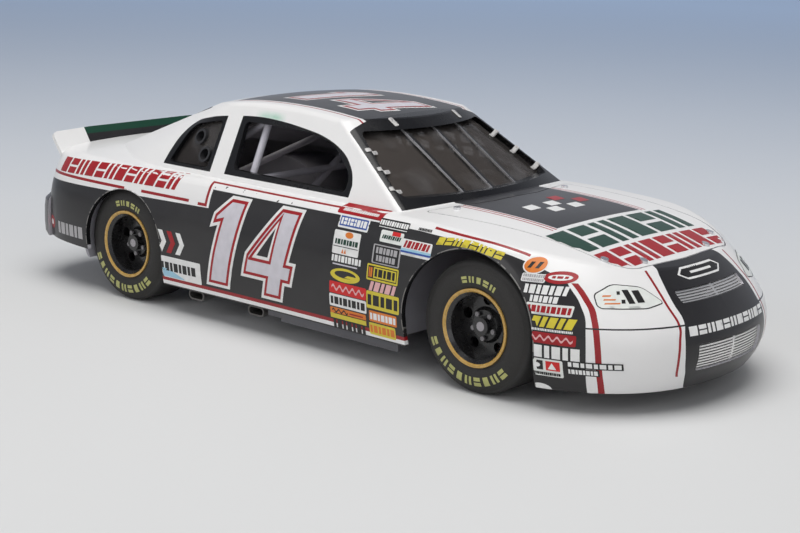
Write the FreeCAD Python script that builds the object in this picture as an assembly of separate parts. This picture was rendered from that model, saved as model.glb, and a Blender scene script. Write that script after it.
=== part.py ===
"""A 1:24 scale model of a stock car, put together as a plastic kit is.

A hollow one-piece body shell with its lift-off hood, bumper covers, clear windows, spoiler
and grilles sits on a chassis with a roll cage, seat, engine and free-rolling wheels.
All lengths are millimetres. X points to the nose, Y to the driver's side (left), Z up.
The origin is on the floor, under the middle of the overall length.
"""
import FreeCAD, Part

import math
import os

V = FreeCAD.Vector

# Fits: a gap round each running pin, and a gap round each loose panel
PIN_GAP = 0.06
PANEL_GAP = 0.3
SEAT_GAP = 0.3

# Wheels and stance
WHEELBASE = 116.4
MID_X = 1.0
FRONT_X = MID_X + WHEELBASE / 2
REAR_X = MID_X - WHEELBASE / 2
TYRE_R = 15.0
TYRE_W = 12.4
TYRE_BORE_R = 7.9
RIM_LIP_R = 8.8
HUB_R = 2.0
AXLE_R = 1.2
AXLE_Z = TYRE_R

# Body shell, with the parting line of the bumper covers
BODY_HALF = 39.2
NOSE_X = 102.5
BODY_TAIL_X = -99.5
BUMPER_TAIL_X = -102.5
WALL = 1.2
SEAM_Z = 19.5
FASCIA_BOTTOM_Z = 5.0
DOOR_BOTTOM_Z = 7.2
QUARTER_BOTTOM_Z = 11.3
TAIL_BOTTOM_Z = 12.9
SHOULDER_R = 3.2
TYRE_OUT_Y = BODY_HALF - 2.2
TYRE_IN_Y = TYRE_OUT_Y - TYRE_W

# Wheel arches follow the axles and the tyre
FRONT_ARCH_X = FRONT_X - 1.5
FRONT_ARCH_R = TYRE_R + 2.7
FRONT_ARCH_Z = AXLE_Z - 0.6
REAR_ARCH_X = REAR_X + 0.8
REAR_ARCH_R = TYRE_R - 0.2
REAR_ARCH_Z = AXLE_Z - 0.2

# Greenhouse: plan at the belt and how far each edge leans per millimetre of height
BELT_Z = 36.5
SIDE_Y = 31.3
SIDE_LEAN = 0.47
SCREEN_X = 38.7
PILLAR_X = 31.7
SCREEN_LEAN = 1.51
QUARTER_X = -46.0
QUARTER_LEAN = 0.95
DECK_CORNER_X = -81.0
DECK_CORNER_Y = 18.5
BACKLIGHT_X = -83.5
BACKLIGHT_LEAN = 2.6
PILLAR_R = 1.6
ROOF_EDGE_R = 1.8

# Glass sits behind its opening, against the inside of the shell
GLASS_T = 0.7
GLASS_LAP = 1.3

# Chassis
FLOOR_T = 1.2
FLOOR_TOP_Z = DOOR_BOTTOM_Z + FLOOR_T
FLOOR_REAR_X = REAR_X + TYRE_R + 2.2
FIREWALL_X = 34.0
TUNNEL_R = 7.4
RAIL_W = 3.0
FRONT_RAIL_Y = 12.7
FRONT_RAIL_Z = 13.5
SIDE_RAIL_Y = 26.0
REAR_RAIL_Y = 16.5
TRUNK_Z = 21.0
HUMP_Z = TRUNK_Z + RAIL_W
TUB_IN_Y = 21.5
KINGPIN_Y = 21.0
KINGPIN_R = 0.9
TUBE_R = 0.9


def box(x0, x1, y0, y1, z0, z1):
    return Part.makeBox(x1 - x0, y1 - y0, z1 - z0, V(x0, y0, z0))


def rod(a, b, radius):
    """Round bar between two points."""
    way = V(*b) - V(*a)
    return Part.makeCylinder(radius, way.Length, V(*a), way)


def cone(a, b, radius_a, radius_b):
    way = V(*b) - V(*a)
    return Part.makeCone(radius_a, radius_b, way.Length, V(*a), way)


def fuse(shapes):
    shapes = list(shapes)
    return shapes[0].multiFuse(shapes[1:]).removeSplitter() if len(shapes) > 1 else shapes[0]


def mirrored(shape):
    """The same piece on the other side of the car."""
    return shape.mirror(V(0, 0, 0), V(0, 1, 0))


def both_sides(shape):
    return [shape, mirrored(shape)]


def line(a, b):
    return Part.LineSegment(V(*a), V(*b)).toShape()


def arc(a, b, c):
    return Part.Arc(V(*a), V(*b), V(*c)).toShape()


def bezier(*points):
    curve = Part.BezierCurve()
    curve.setPoles([V(*p) for p in points])
    return curve.toShape()


def spline(points, start=None, end=None):
    curve = Part.BSplineCurve()
    how = {"Points": [V(*p) for p in points]}
    if start:
        how["InitialTangent"] = V(*start)
        how["FinalTangent"] = V(*end)
    curve.interpolate(**how)
    return curve.toShape()


def rounded(corners, place):
    """Closed wire through corners (a, b, radius); place turns (a, b) into a point in space."""
    stops = []
    count = len(corners)
    for i in range(count):
        here = V(corners[i][0], corners[i][1], 0)
        before = V(corners[i - 1][0], corners[i - 1][1], 0) - here
        after = V(corners[(i + 1) % count][0], corners[(i + 1) % count][1], 0) - here
        half = before.getAngle(after) / 2
        before.normalize()
        after.normalize()
        middle = before + after
        middle.normalize()
        radius = corners[i][2]
        back = radius / math.tan(half)
        depth = radius / math.sin(half) - radius
        stops.append((here + before * back, here + middle * depth, here + after * back))
    edges = []
    for i in range(count):
        a, b, c = stops[i]
        edges.append(Part.Arc(place(a.x, a.y), place(b.x, b.y), place(c.x, c.y)).toShape())
        start = stops[(i + 1) % count][0]
        edges.append(Part.LineSegment(place(c.x, c.y), place(start.x, start.y)).toShape())
    return Part.Wire(edges)


def grown(corners, by):
    """The same outline moved outwards by a margin, its corners still rounded."""
    wire = rounded(corners, lambda a, b: V(a, b, 0))
    return wire.makeOffset2D(by, 0, False, False, False)


def side_prism(corners, by, y0, y1):
    """Outline drawn in side view (x, z), grown by a margin and run across from y0 to y1."""
    flat = Part.Face(grown(corners, by)) if by else Part.Face(rounded(corners, lambda a, b: V(a, b, 0)))
    solid = flat.extrude(V(0, 0, 1))
    solid = solid.transformGeometry(FreeCAD.Matrix(1, 0, 0, 0, 0, 0, y1 - y0, y0, 0, 1, 0, 0, 0, 0, 0, 1))
    return solid


# Lower body by height: tuck-in of the side, set-back of the nose, set-in of the tail
LEVELS = [
    (0.0, 3.0, 6.0, 4.2),
    (5.0, 1.8, 3.2, 2.2),
    (9.0, 0.9, 0.9, 1.0),
    (14.0, 0.2, 0.0, 0.3),
    (19.5, 0.0, 1.6, 0.0),
    (24.5, 0.4, 5.9, 0.3),
    (29.5, 1.3, 11.7, 1.3),
    (34.0, 3.0, 19.0, 2.7),
    (39.0, 6.6, 29.0, 5.4),
]
WAIST = 0.7

# Height of the hood, belt and deck along the middle of the car, and their crown
TOP = [
    (-110, 34.6), (-94, 36.6), (-80, 37.3), (-60, 37.2), (-20, 37.0), (20, 37.0), (40, 37.2),
    (54, 36.7), (65, 35.7), (75, 33.9), (83, 31.8), (90, 29.6), (98, 26.6), (110, 22.0),
]
TOP_CROWN = 1.9

# Height of the roof along its middle
ROOF = [(-110, 41.0), (-75, 44.0), (-50, 50.6), (-37, 53.8), (-28, 55.0), (-18, 55.5), (-8, 55.4), (2, 54.8),
        (12, 53.6), (24, 51.4), (50, 45.0)]
ROOF_CROWN = 2.2


def body_outline(level, inset):
    """Plan outline of the lower body at one height: rounded nose and tail, waisted doors."""
    z, tuck, nose_back, tail_in = level
    w = BODY_HALF - tuck - inset
    nose = NOSE_X - nose_back - inset
    tail = BODY_TAIL_X + tail_in + inset
    fore = FRONT_X + 1
    aft = REAR_X - 5
    halves = []
    for s in (-1, 1):
        middle = [(20, s * (w - WAIST), z), (-20, s * (w - WAIST), z)]
        side = spline([(fore, s * w, z)] + middle + [(aft, s * w, z)], (-1, 0, 0), (-1, 0, 0))
        front = bezier((nose, 0, z), (nose, s * 0.7 * w, z), (nose - 14.5, s * w, z), (fore, s * w, z))
        back = bezier((aft, s * w, z), (tail + 2.5, s * w, z), (tail, s * 0.93 * w, z), (tail, 0, z))
        halves.append([front, side, back])
    return Part.Wire(halves[0] + halves[1][::-1])


def crowned(spine, crown, half, inset, floor):
    """Block under a surface that follows a spine of heights and falls away to the sides."""
    sections = []
    for x, z in spine:
        edge = [(x, y, z - inset - crown * (y / half) ** 2) for y in (-half, -half / 2, 0, half / 2, half)]
        low = [(x, half, floor), (x, -half, floor)]
        sections.append(Part.Wire([spline(edge), line(edge[-1], low[0]), line(*low), line(low[1], edge[0])]))
    return Part.makeLoft(sections, True, False)


def lower_body(inset):
    """Solid of the body below the belt, as if not hollow, its surface moved in by the inset."""
    levels = list(LEVELS)
    if inset:
        levels[0] = (-4.0,) + levels[0][1:]
    walls = Part.makeLoft([body_outline(level, inset) for level in levels], True, False)
    solid = walls.common(crowned(TOP, TOP_CROWN, BODY_HALF, inset, -8))
    edge = [e for e in solid.Edges if e.BoundBox.ZMin > 28.0 - inset and e.BoundBox.YLength > 0.8]
    return solid.makeFillet(SHOULDER_R - inset / 2, edge)


def house_outline(z, inset):
    """Plan outline of the greenhouse at one height: screen, sides, rear pillars, backlight."""
    up = z - BELT_Z
    side = SIDE_Y - SIDE_LEAN * up - inset * 1.1
    screen = SCREEN_X - SCREEN_LEAN * up - inset * 1.8
    pillar = PILLAR_X - SCREEN_LEAN * up - inset * 1.8
    quarter = QUARTER_X + QUARTER_LEAN * up
    corner = DECK_CORNER_X + BACKLIGHT_LEAN * up + inset * 2.2
    corner_y = DECK_CORNER_Y + 0.12 * up - inset * 0.6
    back = BACKLIGHT_X + BACKLIGHT_LEAN * up + inset * 2.8
    bow = screen - pillar
    bend_r = (side * side + bow * bow) / (2 * bow)
    glass_y = side - PILLAR_R
    glass_x = screen - bend_r + math.sqrt(bend_r ** 2 - glass_y ** 2)
    edges = [arc((glass_x, -glass_y, z), (screen, 0, z), (glass_x, glass_y, z))]
    edges.append(bezier((glass_x, glass_y, z), (pillar, side, z), (pillar - PILLAR_R, side, z)))
    edges.append(line((pillar - PILLAR_R, side, z), (quarter, side, z)))
    reach = (quarter - corner) * 0.42
    edges.append(bezier((quarter, side, z), (quarter - reach, side, z), (corner + reach, corner_y + reach * 0.62, z),
                        (corner, corner_y, z)))
    edges.append(arc((corner, corner_y, z), (back, 0, z), (corner, -corner_y, z)))
    edges.append(bezier((corner, -corner_y, z), (corner + reach, -corner_y - reach * 0.62, z),
                        (quarter - reach, -side, z), (quarter, -side, z)))
    edges.append(line((quarter, -side, z), (pillar - PILLAR_R, -side, z)))
    edges.append(bezier((pillar - PILLAR_R, -side, z), (pillar, -side, z), (glass_x, -glass_y, z)))
    return Part.Wire(edges)


def greenhouse(inset):
    """Solid of the cabin above the belt, its surface moved in by the inset."""
    walls = Part.makeLoft([house_outline(z, inset) for z in (BELT_Z - 5, BELT_Z + 21)], True, True)
    solid = walls.common(crowned(ROOF, ROOF_CROWN, SIDE_Y + 5, inset, BELT_Z - 9))
    roof = max(solid.Faces, key=lambda face: face.CenterOfMass.z)
    return solid.makeFillet(ROOF_EDGE_R - inset / 2, roof.Edges)


# Openings drawn in side view as (x, z, corner radius)
DOOR_WINDOW = [(-23.9, 38.4, 1.4), (-24.8, 49.9, 1.2), (-4.0, 49.9, 18.0), (6.2, 48.0, 9.0), (14.0, 42.0, 4.0),
               (14.4, 37.9, 1.4)]
QUARTER_WINDOW = [(-47.4, 37.6, 0.7), (-43.6, 47.2, 5.0), (-32.7, 49.4, 0.9), (-33.1, 37.6, 0.7)]

# Screen and backlight openings, drawn from the front as (y, z, radius) and from above as (x, y, radius)
SCREEN = [(-28.7, 38.4, 1.5), (-22.0, 51.2, 2.2), (22.0, 51.2, 2.2), (28.7, 38.4, 1.5)]
BACKLIGHT = [(-44.0, -19.0, 3.0), (-75.0, -15.5, 3.0), (-75.0, 15.5, 3.0), (-44.0, 19.0, 3.0)]

# Hood outline from above, its rear edge bowed along the screen
HOOD = [(36.6, -27.4, 0.8), (41.4, -9.0, 12.0), (41.4, 9.0, 12.0), (36.6, 27.4, 0.8), (76.0, 27.6, 14.0),
        (87.0, 21.5, 7.0), (88.4, 0.0, 40.0), (87.0, -21.5, 7.0)]

# Hood pins of the left side (x, y), their radius and how far they stand out
HOOD_PINS = ((40.5, 21.0), (81.8, 21.6), (86.0, 12.8))
HOOD_PIN_R = 0.9
HOOD_PIN_H = 0.5

# Grilles from the front: half width, bottom and top
UPPER_GRILLE = (13.0, 23.3, 25.7)
LOWER_GRILLE = (12.9, 9.3, 15.2)
GRILLE_R = 0.7


def front_prism(corners, by, x0, x1):
    """Outline drawn from the front (y, z), grown by a margin and run along from x0 to x1."""
    solid = Part.Face(grown(corners, by) if by else rounded(corners, lambda a, b: V(a, b, 0))).extrude(V(0, 0, 1))
    return solid.transformGeometry(FreeCAD.Matrix(0, 0, x1 - x0, x0, 1, 0, 0, 0, 0, 1, 0, 0, 0, 0, 0, 1))


def plan_prism(corners, by, z0, z1):
    """Outline drawn from above (x, y), grown by a margin and run up from z0 to z1."""
    flat = Part.Face(grown(corners, by) if by else rounded(corners, lambda a, b: V(a, b, 0)))
    solid = flat.extrude(V(0, 0, z1 - z0))
    solid.translate(V(0, 0, z0))
    return solid


def grille_outline(half, low, high):
    return [(y, z, GRILLE_R) for y, z in ((-half, low), (-half, high), (half, high), (half, low))]


def arch(x, z, radius, bottom_x0, bottom_x1, by):
    """Cutter for a wheel arch in side view: a round top whose legs spread a little to the sill."""
    r = radius + by
    top = arc((x - r, 0, z), (x, 0, z + r), (x + r, 0, z))
    legs = [line((x + r, 0, z), (bottom_x1 + by, 0, -2)), line((bottom_x1 + by, 0, -2), (bottom_x0 - by, 0, -2)),
            line((bottom_x0 - by, 0, -2), (x - r, 0, z))]
    face = Part.Face(Part.Wire([top] + legs))
    face.translate(V(0, TYRE_IN_Y - 3, 0))
    return face.extrude(V(0, 40, 0))


def arches(by):
    front = arch(FRONT_ARCH_X, FRONT_ARCH_Z, FRONT_ARCH_R, FRONT_ARCH_X - FRONT_ARCH_R + 0.6,
                 FRONT_ARCH_X + FRONT_ARCH_R - 0.4, by)
    rear = arch(REAR_ARCH_X, REAR_ARCH_Z, REAR_ARCH_R, REAR_ARCH_X - REAR_ARCH_R + 0.3,
                REAR_ARCH_X + REAR_ARCH_R - 0.2, by)
    return both_sides(front) + both_sides(rear)


class Body:
    """The shell's surfaces, built once and shared by every piece that follows them."""

    def __init__(self):
        self.low = lower_body(0)
        self.house = greenhouse(0)
        self.low_in = lower_body(WALL)
        self.house_in = greenhouse(WALL)
        self.glass_in = greenhouse(WALL + GLASS_T)
        self.outer = self.low.fuse(self.house)
        self.inner = self.low_in.fuse(self.house_in)
        self.shell = self.outer.cut(self.inner)

    def glass(self, opening):
        """Thin pane on the inside of the greenhouse, behind an opening."""
        return self.house_in.cut(self.glass_in).common(opening)


def window_cutters(by):
    door = side_prism(DOOR_WINDOW, by, 15, 45)
    quarter = side_prism(QUARTER_WINDOW, by, 15, 45)
    return {"door": both_sides(door), "quarter": both_sides(quarter),
            "screen": front_prism(SCREEN, by, PILLAR_X - 24, SCREEN_X + 8),
            "backlight": plan_prism(BACKLIGHT, by, BELT_Z + 1.1, BELT_Z + 24)}


def hood_ledge(body):
    """Narrow step inside the hood opening that carries the hood."""
    layer = lower_body(WALL).cut(lower_body(WALL + 0.8))
    ring = plan_prism(HOOD, PANEL_GAP + 0.6, BELT_Z - 14, BELT_Z + 4)
    ring = ring.cut(plan_prism(HOOD, -1.4, BELT_Z - 15, BELT_Z + 5))
    return layer.common(ring).cut(body.house_in)


def split_shell(body):
    """Cut every opening, then part the shell at the bumper seams."""
    shell = body.shell
    cuts = arches(0)
    for cutters in window_cutters(0).values():
        cuts += cutters if isinstance(cutters, list) else [cutters]
    cuts.append(plan_prism(HOOD, PANEL_GAP, BELT_Z - 14, BELT_Z + 4))
    cuts.append(front_prism(grille_outline(*UPPER_GRILLE), 0, NOSE_X - 18, NOSE_X + 5))
    cuts.append(front_prism(grille_outline(*LOWER_GRILLE), 0, NOSE_X - 12, NOSE_X + 5))
    below_tail = [(-120, -9, 1), (-120, TAIL_BOTTOM_Z, 1), (REAR_ARCH_X, QUARTER_BOTTOM_Z, 1), (REAR_ARCH_X, -9, 1)]
    cuts.append(side_prism(below_tail, 0, -60, 60))
    cuts.append(box(REAR_ARCH_X, FRONT_ARCH_X, -60, 60, -9, DOOR_BOTTOM_Z))
    cuts.append(box(FRONT_ARCH_X, 120, -60, 60, -9, FASCIA_BOTTOM_Z))
    shell = shell.cut(cuts)
    front = box(FRONT_ARCH_X, 120, -60, 60, -9, SEAM_Z)
    cover = shell.common(front)
    shell = shell.cut(front)
    shell = shell.fuse(hood_ledge(body))
    return shell, cover


def hood_panel(body):
    """Lift-off hood: the piece of the shell inside the hood outline, a little thinner."""
    skin = body.low.cut(lower_body(WALL - PANEL_GAP))
    panel = skin.common(plan_prism(HOOD, 0, BELT_Z - 14, BELT_Z + 4))
    return panel.cut(body.house)


def hood_pins(body):
    """Locking pins with their scuff plates: one at each rear corner, two beside each front corner."""
    pins = []
    for x, y in HOOD_PINS:
        post = rod((x, y, BELT_Z - 10), (x, y, BELT_Z + 3), HOOD_PIN_R)
        pins += both_sides(post.common(layer_on_body(body, HOOD_PIN_H)))
    return pins


def layer_on_body(body, thick):
    """Layer of a given thickness lying on top of the lower body."""
    up = body.low.copy()
    up.translate(V(0, 0, thick))
    return up.cut(body.low)


def bumper_rear(body):
    """Rear bumper cover standing proud of the tail, with softened edges."""
    out = BODY_TAIL_X - BUMPER_TAIL_X
    steps = [(12.0, 1.6), (13.0, 2.7), (15.5, out), (19.5, out - 0.1), (21.8, out - 0.7), (23.0, 0.8)]
    walls = []
    for z, proud in steps:
        tuck = 0.5 if z < 12 or z > 22 else 0.0
        walls.append(body_outline((z, tuck, 0.0, -proud), 0))
    solid = Part.makeLoft(walls, True, True)
    return solid.cut(body.low).common(box(-120, BODY_TAIL_X + 9, -60, 60, 0, 40))


def spoiler(body):
    """Blade across the deck, leaning back, its ends rounded."""
    outline = [(-31.0, -5.0, 0.5), (-31.4, 4.0, 1.6), (-18.0, 4.5, 8.0), (18.0, 4.5, 8.0), (31.4, 4.0, 1.6),
               (31.0, -5.0, 0.5)]
    blade = front_prism(outline, 0, -0.5, 0.5)
    blade.rotate(V(0, 0, 0), V(0, 1, 0), -35)
    blade.translate(V(BODY_TAIL_X + 6.3, 0, BELT_Z - 0.4))
    return blade.cut(body.low)


def grille(outline, x0, x1, body, bars):
    """Grille of level bars with a centre post, set inside its opening."""
    half, low, high = outline
    skin = lower_body(0.5).cut(lower_body(1.1))
    window = front_prism(grille_outline(half, low, high), 0, x0, x1)
    pane = skin.common(window)
    pitch = (high - low) / bars
    gaps = []
    for i in range(bars):
        z = low + pitch * (i + 0.5)
        gaps.append(box(x0, x1, -half + 0.5, -0.35, z - pitch * 0.22, z + pitch * 0.22))
        gaps.append(box(x0, x1, 0.35, half - 0.5, z - pitch * 0.22, z + pitch * 0.22))
    return pane.cut(gaps)


def screen_braces(body):
    """Three flat straps down the outside of the windshield."""
    layer = greenhouse(WALL - 0.5).cut(body.house_in)
    opening = window_cutters(0)["screen"]
    straps = [box(0, 60, y - 0.5, y + 0.5, 30, 60) for y in (-10.0, 0.0, 10.0)]
    return [layer.common(opening).common(strap) for strap in straps]


def window_clips(body):
    """Small retaining clips that lap the edges of the windshield."""
    layer = greenhouse(-0.4).cut(body.outer)
    clips = []
    for x, y, z in ((27.5, 28.4, 41.0), (22.0, 26.5, 44.6), (16.5, 24.8, 48.2)):
        clips += both_sides(layer.common(box(x - 0.9, x + 0.9, y - 1.8, y + 1.8, z - 2.0, z + 2.0)))
    for y in (-12.0, 12.0):
        clips.append(layer.common(box(8, 20, y - 0.7, y + 0.7, 50.2, 54.0)))
    return [c for clip in clips for c in clip.Solids if c.Volume > 0.1]


def quarter_pane(body):
    """Clear quarter window with two round holes for the brake ducts."""
    pane = body.glass(side_prism(QUARTER_WINDOW, GLASS_LAP, 15, 45))
    return pane.cut([rod((x, 15, z), (x, 45, z), DUCT_R) for x, z in DUCTS])


DUCT_R = 1.9
DUCTS = ((-39.5, 44.6), (-36.0, 40.6))


def duct_rings(body):
    """Short collars that carry the brake ducts through the quarter windows."""
    collars = greenhouse(0.3).cut(greenhouse(WALL + GLASS_T + 1.2))
    rings = []
    for x, z in DUCTS:
        tube = rod((x, 15, z), (x, 45, z), DUCT_R).cut(rod((x, 14, z), (x, 46, z), DUCT_R - 0.55))
        rings.append(collars.common(tube))
    return rings


def windshield(body):
    """Clear screen, kept ahead of the pillars so that it ends before the side windows."""
    back = PILLAR_X - WALL * 2 - PILLAR_R / 2
    ahead = [(back + 2 * SCREEN_LEAN, BELT_Z - 2, 0.1), (back - 22 * SCREEN_LEAN, BELT_Z + 22, 0.1),
             (SCREEN_X + 5, BELT_Z + 22, 0.1), (SCREEN_X + 5, BELT_Z - 2, 0.1)]
    return body.glass(window_cutters(GLASS_LAP)["screen"]).common(side_prism(ahead, 0, -45, 45))


def window_net(body):
    """Webbing of the driver's window: a thin panel with a grid of slots."""
    net = body.glass(side_prism(DOOR_WINDOW, GLASS_LAP, 15, 45))
    holes = []
    for i in range(7):
        for j in range(3):
            x = -22.4 + i * 5.0
            z = 39.6 + j * 3.4
            holes.append(box(x, x + 3.8, 15, 45, z, z + 2.4))
    return net.cut(holes)


def chassis_pan(body, rails):
    """Floor with its tunnel, firewall, rear hump, trunk floor and wheel tubs, inside the shell."""
    floor = box(FLOOR_REAR_X - 2, FIREWALL_X, -60, 60, DOOR_BOTTOM_Z, FLOOR_TOP_Z)
    firewall = box(FIREWALL_X - 1, FIREWALL_X, -60, 60, DOOR_BOTTOM_Z, BELT_Z + 2)
    tunnel = rod((FLOOR_REAR_X, 0, FLOOR_TOP_Z), (FIREWALL_X, 0, FLOOR_TOP_Z), TUNNEL_R + 1)
    hump_rear = REAR_X - TYRE_R - 2.2
    hump = box(hump_rear, FLOOR_REAR_X, -TUB_IN_Y, TUB_IN_Y, HUMP_Z, HUMP_Z + 1)
    step = box(FLOOR_REAR_X - 1, FLOOR_REAR_X, -TUB_IN_Y, TUB_IN_Y, DOOR_BOTTOM_Z, HUMP_Z + 1)
    back = box(hump_rear, hump_rear + 1, -TUB_IN_Y, TUB_IN_Y, TRUNK_Z - 1, HUMP_Z + 1)
    trunk = box(-120, hump_rear + 1, -60, 60, TRUNK_Z - 1, TRUNK_Z)
    tub_r = TYRE_R + 2.2
    tubs = both_sides(rod((REAR_X, TUB_IN_Y, AXLE_Z), (REAR_X, 60, AXLE_Z), tub_r))
    wells = both_sides(rod((REAR_X, TUB_IN_Y + 1, AXLE_Z), (REAR_X, 60, AXLE_Z), tub_r - 1))
    pan = fuse([floor, firewall, tunnel, hump, step, back, trunk] + tubs)
    inside = rod((FLOOR_REAR_X - 20, 0, FLOOR_TOP_Z), (FIREWALL_X + 1, 0, FLOOR_TOP_Z), TUNNEL_R)
    below = box(FLOOR_REAR_X, FIREWALL_X, -60, 60, -9, DOOR_BOTTOM_Z)
    step_low = box(REAR_X, FLOOR_REAR_X - 1, -TUB_IN_Y, TUB_IN_Y, -9, FLOOR_TOP_Z + 3)
    pan = pan.cut(wells + [inside, below, step_low])
    pan = pan.cut(both_sides(box(REAR_X - tub_r - 2, FLOOR_REAR_X - 1, TUB_IN_Y - 1, 60, -9, AXLE_Z - 6)))
    axle_hole = rod((REAR_X, -60, AXLE_Z), (REAR_X, 60, AXLE_Z), FLANGE_R + 1)
    return pan.cut(axle_hole).common(body.low_in).cut(rails)


def frame_rails():
    """Box rails from nose to tail: side rails, kick-ups, front and rear rails, cross bars."""
    half = RAIL_W / 2
    back = FLOOR_REAR_X
    side = box(back + 1, FIREWALL_X - 1, SIDE_RAIL_Y - half, SIDE_RAIL_Y + half, FLOOR_TOP_Z, FLOOR_TOP_Z + RAIL_W)
    out_front = box(FIREWALL_X - 4, FIREWALL_X - 1, FRONT_RAIL_Y - half, SIDE_RAIL_Y + half, FLOOR_TOP_Z,
                    FRONT_RAIL_Z + half)
    front = box(FIREWALL_X - 4, NOSE_X - 10, FRONT_RAIL_Y - half, FRONT_RAIL_Y + half, FRONT_RAIL_Z - half,
                FRONT_RAIL_Z + half)
    kick = box(back + 1, back + 4, REAR_RAIL_Y - half, SIDE_RAIL_Y + half, FLOOR_TOP_Z, HUMP_Z)
    rear = box(BODY_TAIL_X + 4, back + 4, REAR_RAIL_Y - half, REAR_RAIL_Y + half, HUMP_Z - RAIL_W, HUMP_Z)
    one_side = fuse([side, out_front, front, kick, rear])
    nose_bar = box(NOSE_X - 13, NOSE_X - 10, -FRONT_RAIL_Y, FRONT_RAIL_Y, FRONT_RAIL_Z - half, FRONT_RAIL_Z + half)
    tail_bar = box(BODY_TAIL_X + 4, BODY_TAIL_X + 7, -REAR_RAIL_Y, REAR_RAIL_Y, HUMP_Z - RAIL_W, HUMP_Z)
    return fuse(both_sides(one_side) + [nose_bar, tail_bar])


def tube(points):
    """Bent round tube: a rod along each leg with a ball at each bend."""
    parts = [rod(a, b, TUBE_R) for a, b in zip(points, points[1:])]
    parts += [Part.makeSphere(TUBE_R, V(*p)) for p in points[1:-1]]
    return parts


HOOP_X = -20.0
LEG_X = 28.5
CAGE_Y = 30.0
ROOF_RAIL_Y = 21.4
ROOF_RAIL_Z = 50.6
DASH_BAR_Z = 33.6


def bar(points):
    """One cage bar as a single solid."""
    return fuse(tube(points))


def cage_hoop():
    """Main hoop behind the seat, with its shoulder bar and diagonal."""
    half = [(HOOP_X, -CAGE_Y, FLOOR_TOP_Z), (HOOP_X, -CAGE_Y, 31), (HOOP_X, -ROOF_RAIL_Y, ROOF_RAIL_Z)]
    parts = tube(half + [(HOOP_X, -y, z) for _, y, z in half[::-1]])
    parts += tube([(HOOP_X, -28.0, 36.0), (HOOP_X, 28.0, 36.0)])
    parts += tube([(HOOP_X, -CAGE_Y, 14.0), (HOOP_X, ROOF_RAIL_Y, ROOF_RAIL_Z)])
    return fuse(parts)


LEG_TOP_X = 8.0
LEG_TOP_Z = 49.2
KNEE_Y = CAGE_Y - 1.4


def cage_side():
    """Left leg beside the screen, running on as the roof rail back to the hoop."""
    return bar([(LEG_X, CAGE_Y, FLOOR_TOP_Z), (LEG_X, CAGE_Y, 28), (LEG_X, KNEE_Y, DASH_BAR_Z),
                (LEG_TOP_X, ROOF_RAIL_Y, LEG_TOP_Z), (HOOP_X, ROOF_RAIL_Y, ROOF_RAIL_Z)])


def cage_door_bars():
    """Three left door bars that bulge out between the hoop and the leg."""
    bulge = CAGE_Y + 2.6
    return [bar([(HOOP_X, CAGE_Y, z), (HOOP_X + 8, bulge, z), (LEG_X - 8, bulge, z), (LEG_X, CAGE_Y, z)])
            for z in (14.0, 19.5, 25.0)]


def cage_cross_bars():
    """Bar behind the dash and bar over the screen."""
    dash = bar([(LEG_X, -KNEE_Y, DASH_BAR_Z), (LEG_X, KNEE_Y, DASH_BAR_Z)])
    roof = bar([(LEG_TOP_X, -ROOF_RAIL_Y, LEG_TOP_Z), (LEG_TOP_X, ROOF_RAIL_Y, LEG_TOP_Z)])
    return [dash, roof]


def cage_brace():
    """Left brace from the hoop back to a foot on the rear hump."""
    foot = (REAR_X - 8, 12.0, HUMP_Z + 1)
    return bar([foot, (foot[0], foot[1], foot[2] + 3), (HOOP_X, ROOF_RAIL_Y, ROOF_RAIL_Z)])


def cut_from(shapes, others):
    """Trim each shape where it would run into pieces that are already placed."""
    trimmed = [shape.cut(others) for shape in shapes]
    return [max(shape.Solids, key=lambda solid: solid.Volume) for shape in trimmed]


SEAT_Y = 14.5


def driver_seat():
    """High-backed seat with side wings and a head rest, bolted to the floor."""
    side = [(-16.5, 0.0, 0.5), (-18.6, 29.0, 1.0), (-16.0, 29.4, 1.0), (-13.2, 8.5, 2.0), (2.0, 9.5, 1.5),
            (2.6, 5.5, 1.0), (-2.0, 5.0, 1.0), (-2.0, 0.0, 0.5)]
    core = side_prism(side, 0, SEAT_Y - 5.6, SEAT_Y + 5.6)
    wings = []
    for s in (-1, 1):
        y = SEAT_Y + s * 6.2
        wing = [(-17.0, 3.0, 1.0), (-18.2, 22.0, 1.5), (-10.5, 21.0, 3.0), (-8.5, 12.5, 2.0), (2.0, 12.5, 1.5),
                (2.4, 5.0, 1.0)]
        wings.append(side_prism(wing, 0, y - 0.6, y + 0.6))
        ear = [(-18.1, 23.5, 0.8), (-18.5, 29.0, 0.8), (-11.0, 28.5, 1.2), (-11.5, 24.5, 1.2)]
        wings.append(side_prism(ear, 0, SEAT_Y + s * 5.0 - 0.6, SEAT_Y + s * 5.0 + 0.6))
    seat = fuse([core] + wings)
    seat.translate(V(0, 0, FLOOR_TOP_Z))
    return seat.cut(rod((-60, 0, FLOOR_TOP_Z), (60, 0, FLOOR_TOP_Z), TUNNEL_R + 1.3))


DASH_X = LEG_X - TUBE_R


def dashboard():
    """Flat dash panel with a pod of gauges in front of the driver."""
    panel = box(DASH_X - 1.4, DASH_X, -25, 25, DASH_BAR_Z - 5.5, DASH_BAR_Z + 0.6)
    pod = box(DASH_X - 2.6, DASH_X, SEAT_Y - 7, SEAT_Y + 7, DASH_BAR_Z - 5.0, DASH_BAR_Z + 0.8)
    dials = [rod((DASH_X - 2.9, SEAT_Y + dy, DASH_BAR_Z - dz), (DASH_X - 2, SEAT_Y + dy, DASH_BAR_Z - dz), 0.9)
             for dy in (-5.0, -2.6, 2.6, 5.0) for dz in (1.2, 3.4)]
    return fuse([panel, pod] + dials)


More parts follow.
